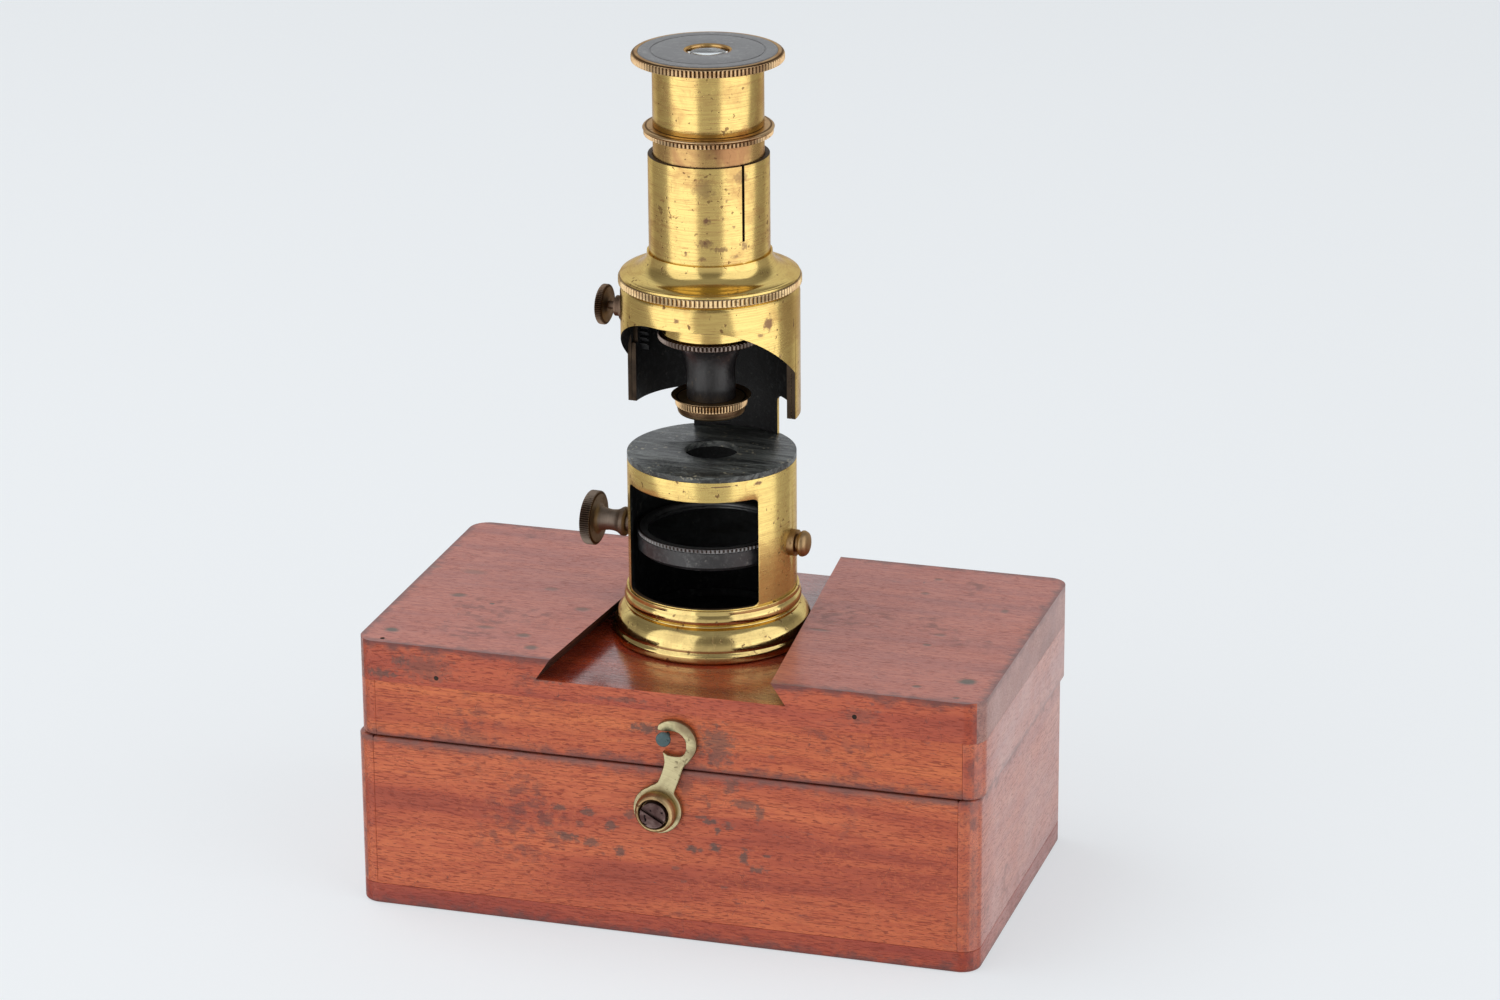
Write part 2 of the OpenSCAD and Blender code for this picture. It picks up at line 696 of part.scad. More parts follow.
module mirror_cell()
    color(black) at_axle() difference() {
        turned([[0, cell_bottom], [cell_radius - 1, cell_bottom], [cell_radius, cell_bottom + 0.9],
            [cell_radius, cell_top], [cell_bore, cell_top], [cell_bore, glass_bottom],
            [0, glass_bottom]]);
        bar_x(axle_radius - run_gap, pivot_end, 2 * cell_radius);
        bar_x(axle_radius - run_gap, -2 * cell_radius, -pivot_end);
    }

module mirror_bezel()
    color(black) at_axle() turned([[cell_bore - 0.9, cell_top], [cell_radius, cell_top],
        [cell_radius, bezel_top - 0.2], [cell_radius - 0.2, bezel_top], [cell_bore - 0.5, bezel_top]]);

module mirror_glass()
    color(clear) at_axle() translate([0, 0, glass_bottom])
        cylinder(r = cell_bore - 0.05, h = glass_thickness);

// Sliding shell: a tube with the front arch, and a hole for the pinion's shaft
module upper_shell()
    color(brass) on_lid() difference() {
        turned([[shell_bore, shell_bottom], [shell_radius, shell_bottom], [shell_radius, shell_top - 1.5],
            [shell_radius - 0.1 * shell_wall, shell_top - 0.9], [shell_radius - 0.35 * shell_wall, shell_top - 0.4],
            [shell_radius - 0.75 * shell_wall, shell_top], [shell_bore, shell_top]]);
        arch(shell_bottom - 1);
        translate([0, 0, pinion_height]) bar_x(pinion_shaft_radius + run_gap, 0, 2 * shell_radius);
    }

// Cap: knurled rim on the shell, a flared neck, and the bore that holds the sleeve
module shell_cap()
    color(brass) on_lid() turned(concat(
        [[shell_bore, shell_top], [cap_radius - 0.3, shell_top], [cap_radius, shell_top + 0.5],
            [cap_radius, cap_shoulder - 0.5], [cap_radius - 0.4, cap_shoulder]],
        [[cap_radius - 0.9, cap_shoulder + 0.1], [cap_radius - 1.5, cap_shoulder + 0.7]],
        [[cap_radius - cap_slope_width, cap_shoulder + cap_slope]],
        arc([sleeve_radius + cap_flare + cap_neck_step, cap_top], [cap_flare, cap_flare_height],
            cap_flare_start, 180, 6),
        [[sleeve_radius, cap_top], [sleeve_radius, cap_roof], [shell_bore, cap_roof]]));

// Springy sleeve that grips the draw tube, slit on two sides
module sleeve()
    color(brass) on_lid() difference() {
        tube(sleeve_radius, sleeve_bore, cap_roof, sleeve_top);
        rotate([0, 0, 55]) translate([-slit_width / 2, -2 * sleeve_radius, sleeve_top - slit_length])
            cube([slit_width, 4 * sleeve_radius, slit_length + 1]);
    }

module pinion_bush()
    color(bronze) on_lid() difference() {
        translate([0, 0, pinion_height]) {
            bar_x(2.9, 0, bush_face);
            bar_x(2.1, 0, bush_end);
        }
        cylinder(r = shell_radius, h = shell_top);
        translate([0, 0, pinion_height]) bar_x(pinion_shaft_radius + run_gap, 0, 2 * shell_radius);
    }

module pinion_shaft()
    color(bronze) on_lid() translate([0, 0, pinion_height])
        bar_x(pinion_shaft_radius, gear_outer, focus_knob_x);

module focus_knob()
    color(bronze) on_lid() translate([0, 0, pinion_height]) rotate([0, -90, 0]) turned([
        [0, focus_knob_x], [pinion_shaft_radius, focus_knob_x], [pinion_shaft_radius, focus_knob_x - 0.3],
        [1.6, focus_knob_x - 0.3], [focus_knob_radius - 0.5, focus_knob_x],
        [focus_knob_radius, focus_knob_x + 0.4], [focus_knob_radius, focus_knob_x + 1.2],
        [focus_knob_radius - 0.5, focus_knob_x + 1.6], [0, focus_knob_x + 1.6]]);

module pinion_gear()
    color(brass) on_lid() translate([-gear_inner, 0, pinion_height]) rotate([90, 0, 90])
        linear_extrude(gear_inner - gear_outer) difference() {
            union() {
                circle(r = pitch_radius - tooth_root + 0.05);
                for (k = [0 : pinion_teeth - 1]) rotate(k * 360 / pinion_teeth)
                    polygon([[1.2, -0.36], [pitch_radius - tooth_root, -0.36],
                        [pitch_radius + tooth_depth - 0.06, -0.13],
                        [pitch_radius + tooth_depth - 0.06, 0.13],
                        [pitch_radius - tooth_root, 0.36], [1.2, 0.36]]);
            }
            circle(r = pinion_shaft_radius);
        }

module draw_tube() color(worn_brass) on_lid() tube(draw_radius, draw_bore, draw_bottom, ring_bottom);

// Knurled ring on top of the draw tube
module draw_tube_ring()
    color(worn_brass) on_lid() turned([[draw_bore, ring_bottom], [ring_radius - 0.4, ring_bottom],
        [ring_radius, ring_bottom + 0.4], [ring_radius, ring_bottom + 1.1],
        [ring_radius - 0.5, ring_bottom + 1.6], [ring_radius - 1.3, ring_top], [draw_bore, ring_top]]);

module nosepiece()
    color(brass) on_lid() turned([[lens_bore + 1, nose_bottom], [nosepiece_radius - 0.3, nose_bottom],
        [nosepiece_radius, nose_bottom + 0.3], [nosepiece_radius, draw_bottom], [draw_bore, draw_bottom],
        [draw_bore, draw_bottom + nose_spigot], [draw_bore - nose_spigot_wall, draw_bottom + nose_spigot],
        [draw_bore - nose_spigot_wall, draw_bottom],
        [lens_bore + 1, draw_bottom]]);

module objective_ring()
    color(black) on_lid() turned([[lens_bore + 1, objective_ring_bottom],
        [objective_ring_radius - 1.3, objective_ring_bottom],
        [objective_ring_radius, objective_ring_bottom + 0.5],
        [objective_ring_radius, nose_bottom - 0.2], [objective_ring_radius - 0.2, nose_bottom],
        [lens_bore + 1, nose_bottom]]);

// Waisted barrel of the objective
module objective_body()
    color(black) on_lid() turned(concat(
        [[lens_bore, objective_bottom + 1.6], [waist_radius - 0.6, objective_bottom + 1.6]],
        [[waist_radius - 0.6, cap_rim_z - 0.6], [waist_radius, cap_rim_z - 0.6],
            [waist_radius, objective_ring_bottom - neck_length - 0.3]],
        arc([waist_radius + neck_flare, objective_ring_bottom - neck_length],
            [neck_flare, neck_length], 180, 102, 8),
        [[waist_radius + 0.8 * neck_flare, objective_ring_bottom], [lens_bore, objective_ring_bottom]]));

// Screwed cap at the objective's lower end, a shallow bowl with a knurled rim
module objective_cap()
    color(worn_brass) on_lid() turned([[lens_bore - 0.8, objective_bottom],
        [objective_cap_radius - 1.7, objective_bottom], [objective_cap_radius - 1.3, objective_bottom + 0.4],
        [objective_cap_radius - 0.9, objective_bottom + 2], [objective_cap_radius - 0.4, objective_bottom + cap_rim_under],
        [objective_cap_radius, cap_rim_z - 0.3], [objective_cap_radius - 0.3, cap_rim_z],
        [objective_cap_radius - 0.9, cap_rim_z - 0.6], [waist_radius - 0.6, cap_rim_z - 0.6],
        [waist_radius - 0.6, objective_bottom + 1.6], [lens_bore, objective_bottom + 1.6],
        [lens_bore, objective_bottom + 0.6], [lens_bore - 0.8, objective_bottom + 0.6]]);

// A lens bounded by a cylinder edge and one or two domes
module lens(r, low, edge, bulge_down, bulge_up)
    turned(concat(
        [[0, low - bulge_down]], bulge_down > 0 ? [[r * 0.5, low - bulge_down * 0.75]] : [],
        [[r, low], [r, low + edge]],
        bulge_up > 0 ? [[r * 0.75, low + edge + bulge_up * 0.44], [r * 0.4, low + edge + bulge_up * 0.84]] : [],
        [[0, low + edge + bulge_up]]));

module objective_front_lens()
    color(clear) on_lid() lens(lens_bore, objective_bottom + 0.6, 0.5, 0, 0.8);

module objective_back_lens()
    color(clear) on_lid() lens(lens_bore, objective_ring_bottom - 3, 0.8, 0.6, 0.6);

// Eyepiece tube with the long spigot that screws into the draw tube
module eyepiece_tube()
    color(brass) on_lid() difference() {
        union() {
            translate([0, 0, ring_top + face_gap])
                cylinder(r = draw_radius, h = rim_bottom - ring_top - face_gap);
            translate([0, 0, eyepiece_bottom])
                cylinder(r = spigot_radius, h = ring_top + 1 - eyepiece_bottom);
        }
        translate([0, 0, eyepiece_bottom + 1.4]) cylinder(r = spigot_radius - 0.75, h = rim_bottom);
        translate([0, 0, eyepiece_bottom - 1]) cylinder(r = spigot_radius - 1.4, h = 4);
    }

module eyepiece_rim()
    color(worn_brass) on_lid() turned([
        [eye_opening + 0.5, rim_bottom], [rim_radius - 0.4, rim_bottom], [rim_radius, rim_bottom + 0.4],
        [rim_radius, rim_bottom + 1.1], [rim_radius - 0.4, rim_bottom + 1.6],
        [disc_radius, rim_top], [disc_radius, disc_bottom], [eye_opening + 0.5, disc_bottom]]);

module eyepiece_disc()
    color(black) on_lid() turned([[eye_opening + 0.5, disc_bottom], [disc_radius, disc_bottom],
        [disc_radius, disc_top], [eye_opening + 0.7, disc_top], [eye_opening, disc_top - 0.5],
        [eye_opening, disc_top - 0.9], [eye_opening + 0.5, disc_top - 0.9]]);

module eye_lens()
    color(clear) on_lid() intersection() {
        lens(eye_opening + 0.5, rim_bottom, disc_top - 0.9 - rim_bottom, 1.2, 0);
        cylinder(r = eye_opening + 0.5, h = 2 * rim_bottom);
    }

module field_stop()
    color(black) on_lid() tube(spigot_radius - 0.75, field_opening, ring_bottom - 0.5, ring_bottom + 0.5);

module field_lens()
    color(clear) on_lid() lens(spigot_radius - 0.75, eyepiece_bottom + 1.4, 0.8, 0, 1.6);

base_board();
case_front();
case_back();
case_left_end();
case_right_end();
foot_cradle();
tube_cradle();
hinge_leaf_lower_left();
hinge_leaf_lower_right();
hinge_pins();
lower_hinge_screws();
latch_washer();
latch_screw();
lid_top();
lid_front();
lid_back();
lid_left_end();
lid_right_end();
hinge_leaf_upper_left();
hinge_leaf_upper_right();
upper_hinge_screws();
catch_pin();
lid_brads();
latch_hook();
foot();
drum_tube();
stage_plate();
focus_rack();
axle_bush_left();
axle_bush_right();
mirror_shaft();
mirror_knob();
pivot_screw();
mirror_cell();
mirror_bezel();
mirror_glass();
upper_shell();
shell_cap();
sleeve();
pinion_bush();
pinion_shaft();
focus_knob();
pinion_gear();
draw_tube();
draw_tube_ring();
nosepiece();
objective_ring();
objective_body();
objective_cap();
objective_front_lens();
objective_back_lens();
eyepiece_tube();
eyepiece_rim();
eyepiece_disc();
eye_lens();
field_stop();
field_lens();
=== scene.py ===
# Pocket drum microscope standing in the dovetail groove of its hinged wooden case.
# The frame is in metres. Instrument pieces are drawn in millimetres and then set in place.
# Colours are (red, green, blue).
import json
import math

import bmesh
import bpy
from mathutils import Matrix, Vector


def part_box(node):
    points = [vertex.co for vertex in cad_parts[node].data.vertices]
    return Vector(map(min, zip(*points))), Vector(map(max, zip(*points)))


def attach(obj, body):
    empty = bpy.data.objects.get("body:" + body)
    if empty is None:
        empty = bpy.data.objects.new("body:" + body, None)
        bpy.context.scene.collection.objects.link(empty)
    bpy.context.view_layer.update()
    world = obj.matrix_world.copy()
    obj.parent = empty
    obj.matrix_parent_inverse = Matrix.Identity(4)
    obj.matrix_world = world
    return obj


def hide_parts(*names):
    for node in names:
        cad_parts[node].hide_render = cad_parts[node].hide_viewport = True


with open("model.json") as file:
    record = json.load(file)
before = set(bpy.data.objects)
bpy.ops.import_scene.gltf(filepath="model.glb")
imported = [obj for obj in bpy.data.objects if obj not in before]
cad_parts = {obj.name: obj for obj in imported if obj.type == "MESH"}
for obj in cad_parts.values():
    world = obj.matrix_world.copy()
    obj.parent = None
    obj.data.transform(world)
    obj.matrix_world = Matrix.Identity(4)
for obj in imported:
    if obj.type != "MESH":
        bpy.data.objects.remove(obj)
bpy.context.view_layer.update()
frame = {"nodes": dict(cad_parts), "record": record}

MM = 0.001
QUARTER = math.radians(90)
# The instrument's turn in the groove and the camera's angles, all fitted to the photo
UP_TURN = math.radians(-4)
CAMERA_TURN = 0.2970
CAMERA_RISE = 0.3458
CAMERA_ROLL = -0.0074


# ---- Node trees ----

def node(tree, kind, inputs=None, **settings):
    """A node with its settings; inputs are values, or sockets to link."""
    made = tree.nodes.new(kind)
    for name, value in settings.items():
        setattr(made, name, value)
    for key, value in (inputs or {}).items():
        socket = made.inputs[key]
        if isinstance(value, bpy.types.NodeSocket):
            tree.links.new(value, socket)
        else:
            socket.default_value = (*value, 1) if socket.type == "RGBA" else value
    return made


def calc(tree, operation, *values):
    return node(tree, "ShaderNodeMath", dict(enumerate(values)), operation=operation).outputs[0]


def chain(tree, operation, values):
    result = values[0]
    for value in values[1:]:
        result = calc(tree, operation, result, value)
    return result


def times(tree, *values):
    return chain(tree, "MULTIPLY", values)


def plus(tree, *values):
    return chain(tree, "ADD", values)


def larger(tree, *values):
    return chain(tree, "MAXIMUM", values)


def apart(tree, first, second):
    """How far two values are apart."""
    return calc(tree, "ABSOLUTE", calc(tree, "SUBTRACT", first, second))


def centred(tree, pattern):
    """A pattern from 0 to 1, counted from its middle."""
    return calc(tree, "SUBTRACT", pattern, 0.5)


def vector(tree, operation, *values):
    made = node(tree, "ShaderNodeVectorMath", dict(enumerate(values)), operation=operation)
    return made.outputs["Value" if operation in ("LENGTH", "DOT_PRODUCT") else "Vector"]


def parts_of(tree, place):
    return node(tree, "ShaderNodeSeparateXYZ", {0: place}).outputs


def fade(tree, value, low, high, to_low=0.0, to_high=1.0):
    """Smooth step of a value between two levels."""
    made = node(tree, "ShaderNodeMapRange", {0: value, 1: low, 2: high, 3: to_low, 4: to_high},
                interpolation_type="SMOOTHSTEP")
    return made.outputs[0]


def noise(tree, place, scale, detail=2.0, rough=0.5, distort=0.0, extra=None):
    """A noise pattern; scale is one number, or one for each axis, and extra is a fourth coordinate."""
    if isinstance(scale, tuple):
        place, scale = vector(tree, "MULTIPLY", place, scale), 1.0
    inputs = {"Vector": place, "Scale": scale, "Detail": detail, "Roughness": rough, "Distortion": distort}
    if extra is not None:
        inputs["W"] = extra
    return node(tree, "ShaderNodeTexNoise", inputs,
                noise_dimensions="3D" if extra is None else "4D").outputs[0]


def blend(tree, factor, low, high):
    return node(tree, "ShaderNodeMix", {0: factor, 6: low, 7: high}, data_type="RGBA").outputs[2]


def layered(tree, colour, *layers):
    """A colour with others laid on it; each layer is (mask, colour)."""
    for mask, paint in layers:
        colour = blend(tree, mask, colour, paint)
    return colour


def bumps(tree, *layers):
    """Bumps laid on one another; each layer is (height, distance in metres, strength)."""
    inputs = {}
    for height, distance, strength in layers:
        inputs.update({"Height": height, "Distance": distance, "Strength": strength})
        inputs["Normal"] = node(tree, "ShaderNodeBump", inputs).outputs[0]
    return inputs["Normal"]


def group(name, inputs, outputs, build):
    """A shared effect: build gets the tree and the input sockets and returns the output values."""
    made = bpy.data.node_groups.new(name, "ShaderNodeTree")
    for label in inputs:
        kind = "NodeSocketFloat" if label == "Ragged" else "NodeSocketVector"
        made.interface.new_socket(name=label, in_out="INPUT", socket_type=kind)
    for label in outputs:
        made.interface.new_socket(name=label, in_out="OUTPUT", socket_type="NodeSocketFloat")
    entry = made.nodes.new("NodeGroupInput")
    results = build(made, *[entry.outputs[label] for label in inputs])
    node(made, "NodeGroupOutput", dict(zip(outputs, results)))
    return made


def use(tree, shared, **inputs):
    return node(tree, "ShaderNodeGroup", inputs, node_tree=shared).outputs


def lathe_marks(tree, place):
    """Lines that the lathe left round the Z axis: fine ones, broken dark ones and slow waves."""
    x, y, z = parts_of(tree, place)
    radius = calc(tree, "SQRT", plus(tree, times(tree, x, x), times(tree, y, y)))
    fine = noise(tree, place, (0.10, 0.10, 6.5), 2.0, 0.65, extra=times(tree, radius, 6.5))
    broken = noise(tree, place, (0.30, 0.30, 4.2), 1.5, 0.6, extra=times(tree, radius, 4.2))
    return fine, fade(tree, broken, 0.60, 0.72), noise(tree, place, 0.13, 1.0), radius


def tarnish_marks(tree, place):
    """Dark spots, cloudy patina, fine specks and fine scratches."""
    aside = vector(tree, "ADD", place, (3.1, 7.7, 1.3))
    cloud = fade(tree, noise(tree, aside, 0.12, 4.0, 0.62, 0.5), 0.45, 0.68)
    patch = noise(tree, aside, 0.17, 2.0, 0.55)
    dots = noise(tree, place, 1.0, 1.5, 0.55)
    spots = fade(tree, plus(tree, dots, times(tree, patch, 0.45)), 0.90, 0.97)
    specks = fade(tree, noise(tree, place, 4.6, 1.0, 0.6), 0.68, 0.76)
    line = noise(tree, aside, (0.30, 0.30, 0.165), 2.0, 0.5, 1.2)
    scratch = times(tree, fade(tree, apart(tree, line, 0.5), 0.0022, 0.0008),
                    fade(tree, noise(tree, place, 0.21, 1.0), 0.52, 0.60))
    return spots, cloud, specks, scratch


def wood_marks(tree, place):
    """Grain along X: broad tone, fine fibres, dark pores and lines, dashes and silky cross ripples."""
    bend = noise(tree, place, (0.012, 0.05, 0.05))
    shift = node(tree, "ShaderNodeCombineXYZ", {1: times(tree, bend, 7.0), 2: times(tree, bend, -6.0)})
    curved = vector(tree, "ADD", place, shift.outputs[0])
    tone = noise(tree, curved, (0.011, 0.13, 0.13), 4.0, 0.6)
    fibre = noise(tree, curved, (0.16, 2.1, 2.1), 2.5, 0.7)
    pores = fade(tree, noise(tree, curved, (0.55, 4.6, 4.6), 1.0), 0.57, 0.66)
    lines = fade(tree, noise(tree, curved, (0.09, 3.0, 3.0), 2.0, 0.6), 0.60, 0.70, 0, 0.75)
    dashes = fade(tree, noise(tree, curved, (0.30, 1.5, 1.5), 3.0, 0.7), 0.60, 0.72)
    ripple = centred(tree, noise(tree, place, (0.9, 0.42, 0.85), 3.0, 0.6, 0.5))
    where = fade(tree, noise(tree, place, 0.05), 0.42, 0.62)
    return tone, fibre, larger(tree, pores, lines), dashes, times(tree, ripple, where)


def edge_distance(tree, place, low, high):
    """Distance in millimetres to the nearest edge of the box that a face belongs to."""
    here, lows, highs = [parts_of(tree, corner) for corner in (place, low, high)]
    a, b, c = [calc(tree, "MINIMUM", apart(tree, here[i], lows[i]), apart(tree, here[i], highs[i]))
               for i in range(3)]
    return (larger(tree, calc(tree, "MINIMUM", a, b), calc(tree, "MINIMUM", larger(tree, a, b), c)),)


def smudge(tree, place, centre, size, ragged):
    """A stain round a place, whose outline follows a ragged pattern; 1 in the middle."""
    ratio = vector(tree, "DIVIDE", vector(tree, "SUBTRACT", place, centre), size)
    return (fade(tree, plus(tree, vector(tree, "LENGTH", ratio), ragged), 1.05, 0.35),)


LATHE = group("lathe marks", ["Place"], ["Fine", "Rings", "Waves", "Radius"], lathe_marks)
TARNISH = group("tarnish", ["Place"], ["Spots", "Cloud", "Specks", "Scratch"], tarnish_marks)
WOOD = group("wood grain", ["Place"], ["Tone", "Fibre", "Pores", "Dashes", "Ripple"], wood_marks)
EDGE = group("edge distance", ["Place", "Low", "High"], ["Distance"], edge_distance)
SMUDGE = group("smudge", ["Place", "Centre", "Size", "Ragged"], ["Mask"], smudge)


def smudges(tree, place, rows, ragged):
    """A mask for each row: place (3 numbers), size (3 numbers), both in millimetres, and strength."""
    return [times(tree, use(tree, SMUDGE, Place=place, Centre=row[:3], Size=row[3:6], Ragged=ragged)[0],
                  row[6]) for row in rows]


def place_in(tree, centre=(0, 0, 0), turn=(0, 0, 0)):
    """Object coordinates in millimetres, counted from a centre and along turned axes."""
    spot = node(tree, "ShaderNodeTexCoord").outputs["Object"]
    return node(tree, "ShaderNodeMapping", {"Vector": spot, "Location": centre, "Rotation": turn,
                                            "Scale": (MM, MM, MM)}, vector_type="TEXTURE").outputs[0]


def new_material(name):
    made = bpy.data.materials.new(name)
    made.use_nodes = True
    made.node_tree.nodes.clear()
    return made, made.node_tree


def finish_material(made, tree, **inputs):
    shader = node(tree, "ShaderNodeBsdfPrincipled", {k.replace("_", " "): v for k, v in inputs.items()})
    node(tree, "ShaderNodeOutputMaterial", {"Surface": shader.outputs[0]})
    return made


# ---- Metals and blacking ----

FOOT_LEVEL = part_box("foot")[0].z
# Heights of the two cross axles over the foot's underside, in millimetres
MIRROR_HEIGHT = 21
PINION_HEIGHT = 67
LATCH_PLANE = -0.0368
UPRIGHT = ((0, 0, FOOT_LEVEL), (0, 0, UP_TURN))
ON_MIRROR_AXLE = ((0, 0, FOOT_LEVEL + MIRROR_HEIGHT * MM), (0, QUARTER, UP_TURN))
ON_PINION = ((0, 0, FOOT_LEVEL + PINION_HEIGHT * MM), (0, QUARTER, UP_TURN))


def middle_on_front(name):
    low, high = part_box(name)
    return ((low.x + high.x) / 2, LATCH_PLANE, (low.z + high.z) / 2)


LATCH_CENTRE = middle_on_front("latch_screw")
ON_LATCH = (LATCH_CENTRE, (QUARTER, 0, 0))
ON_CATCH = (middle_on_front("catch_pin"), (QUARTER, 0, 0))

BRIGHT = (0.80, 0.60, 0.215)
BROWN = (0.44, 0.245, 0.085)
SPOT = (0.17, 0.080, 0.040)
BLOT = (0.20, 0.105, 0.070)
GLANCING = (0.72, 0.60, 0.50)


def turned_metal(name, axis, bright, brown, dark=SPOT, rough=0.2, patina=0.5, spots=0.8, lines=1.0,
                 crest=None, metallic=1.0, blots=()):
    """Lathe-turned metal with patina; crest is the radius and depth of a knurl, whose bottom is grimy,
    and blots are single brown stains."""
    made, tree = new_material(name)
    place = place_in(tree, *axis)
    fine, rings, waves, radius = use(tree, LATHE, Place=place)
    spot, cloud, specks, scratch = use(tree, TARNISH, Place=place)
    marks = larger(tree, times(tree, spot, spots), times(tree, specks, spots * 0.5),
                   times(tree, scratch, 0.8))
    colour = layered(tree, bright, (times(tree, cloud, patina), brown),
                     (fade(tree, fine, 0.44, 0.70, 0, 0.42 * lines), brown),
                     (times(tree, rings, 0.55 * lines), brown), (marks, dark))
    if blots:
        spread = times(tree, centred(tree, noise(tree, place, 1.6, 3.0, 0.7)), 2.0)
        for mask in smudges(tree, place, blots, spread):
            colour = blend(tree, mask, colour, BLOT)
            marks = larger(tree, marks, mask)
    if crest:
        top, depth = crest
        grime = times(tree, fade(tree, radius, top - depth * 0.45, top - depth * 0.9),
                      fade(tree, radius, top - depth * 1.9, top - depth * 1.3))
        colour = blend(tree, times(tree, grime, 0.9), colour, dark)
    roughness = plus(tree, rough, times(tree, cloud, 0.08), times(tree, marks, 0.25),
                     times(tree, centred(tree, fine), 0.16))
    bump = bumps(tree, (waves, 0.00009, 0.6), (fine, 0.000012 * lines, 1.0), (marks, -0.00003, 0.6))
    return finish_material(made, tree, Base_Color=colour, Metallic=metallic, Roughness=roughness, Normal=bump,
                           Specular_Tint=GLANCING)


def black_paint(name, axis, shade, rub_and_sheen, bare, wear=0.5, rough=0.5, gloss=0.45, rub_and_sheen_streaks=0.0):
    """Old black paint or blacking, greyed by rubbing, and on the stage and the eyepiece disc also by painted
    sheen, and worn to metal in places; pale streak lines along X are rubbing and painted sheen.
    """
    made, tree = new_material(name)
    place = place_in(tree, *axis)
    fine = use(tree, LATHE, Place=place)[0]
    spot, cloud, specks, scratch = use(tree, TARNISH, Place=place)
    flecks = fade(tree, noise(tree, place, 0.9, 5.0, 0.72), 0.47, 0.66)
    rubbed_and_sheen = times(tree, larger(tree, times(tree, cloud, flecks), times(tree, flecks, 0.35)), wear)
    # Pale streak lines along X: rubbing and painted sheen
    if rub_and_sheen_streaks:
        drawn = noise(tree, place, (0.05, 0.32, 0.32), 6.0, 0.75, 1.6)
        rubbed_and_sheen = larger(tree, rubbed_and_sheen, fade(tree, drawn, 0.44, 0.62, 0, rub_and_sheen_streaks))
    worn = larger(tree, specks, spot, times(tree, scratch, 0.8))
    colour = layered(tree, shade, (rubbed_and_sheen, rub_and_sheen), (times(tree, worn, wear * 0.6), bare))
    roughness = plus(tree, rough, times(tree, rubbed_and_sheen, -0.12))
    bump = bumps(tree, (flecks, 0.00004, 0.6), (fine, 0.000008, 0.8))
    return finish_material(made, tree, Base_Color=colour, Roughness=roughness, Normal=bump,
                           Specular_IOR_Level=gloss)


# Brown stains on the tube and on the shell and drum, where the photo shows them
SLEEVE_BLOTS = [
    (4, -11.7, 90.2, 0.9, 0.9, 0.9, 0.9), (6.8, -10.4, 90.6, 0.6, 0.6, 0.6, 0.8),
    (8.7, -8.9, 88.7, 0.6, 0.6, 0.6, 0.7), (7.6, -9.8, 94.2, 0.45, 0.45, 0.45, 0.8),
    (9.9, -7.5, 98.6, 2.2, 2.2, 1.6, 0.5), (3.6, -11.9, 96.6, 2.6, 2, 2.6, 0.45),
    (-0.3, -12.4, 83.3, 0.6, 0.6, 0.6, 0.9), (3.7, -11.8, 85.6, 2, 2, 1.1, 0.7),
    (6.5, -10.5, 84.3, 2.4, 2, 0.7, 0.7), (10.2, -7.1, 84.6, 1.1, 1.1, 1.2, 0.7),
    (3.1, -12, 82.4, 0.9, 0.9, 0.6, 0.7), (9, -8.5, 82.6, 1.2, 1.2, 0.5, 0.6)]
SHELL_BLOTS = [
    (15.7, -8.8, 69.5, 1.4, 1.4, 1.7, 0.85), (14.7, -10.5, 67.6, 1, 1, 0.5, 0.7),
    (18, -0.7, 67.3, 0.4, 0.3, 1.4, 0.9), (-0.1, -18, 71.2, 0.7, 0.7, 0.6, 0.8),
    (13.8, -10.1, 36.6, 1.3, 1.3, 0.5, 0.9), (8, -15, 36.7, 4.2, 2.4, 0.16, 1),
    (17.1, -5.6, 62.1, 0.6, 0.6, 0.6, 0.7)]

brass = turned_metal("brass", UPRIGHT, BRIGHT, BROWN, rough=0.17, patina=0.45, blots=SHELL_BLOTS)
drum_brass = turned_metal("brass of the drum", UPRIGHT, (0.80, 0.61, 0.215), BROWN, rough=0.22,
                          patina=0.40, metallic=0.82, blots=SHELL_BLOTS)
brass_tube = turned_metal("brass of the tubes", UPRIGHT, BRIGHT, (0.47, 0.25, 0.10), patina=0.6,
                          lines=1.3, spots=0.7, blots=SLEEVE_BLOTS)
polished_brass = turned_metal("polished brass of the cap", UPRIGHT, (0.82, 0.62, 0.225), BROWN,
                              rough=0.17, patina=0.45, lines=0.6, spots=0.7)
foot_brass = turned_metal("brass of the foot", UPRIGHT, (0.80, 0.62, 0.25), (0.42, 0.29, 0.12),
                          rough=0.12, patina=0.5, lines=0.5, spots=0.7)
draw_brass = turned_metal("brass of the draw tube", UPRIGHT, (0.62, 0.41, 0.16), (0.38, 0.19, 0.09),
                          rough=0.26, patina=0.9)
# The cut edges of the tubes are nearly black: painted shade, with a little of the brass's brown
cut_edge_shade = turned_metal("brass of the cut edges", UPRIGHT, (0.055, 0.036, 0.022),
                         (0.022, 0.015, 0.010), (0.02, 0.012, 0.008), rough=0.5, patina=0.9,
                         lines=0.4, metallic=0.4)
RIM_BRASS = (0.62, 0.44, 0.25)
RIM_BROWN = (0.38, 0.21, 0.105)
RIM_DARK = (0.050, 0.024, 0.013)


def rim_metal(name, axis, crest, bright=RIM_BRASS, brown=RIM_BROWN, rough=0.32):
    return turned_metal(name, axis, bright, brown, RIM_DARK, rough=rough, patina=0.75, spots=0.4, lines=0.4,
                        crest=crest)


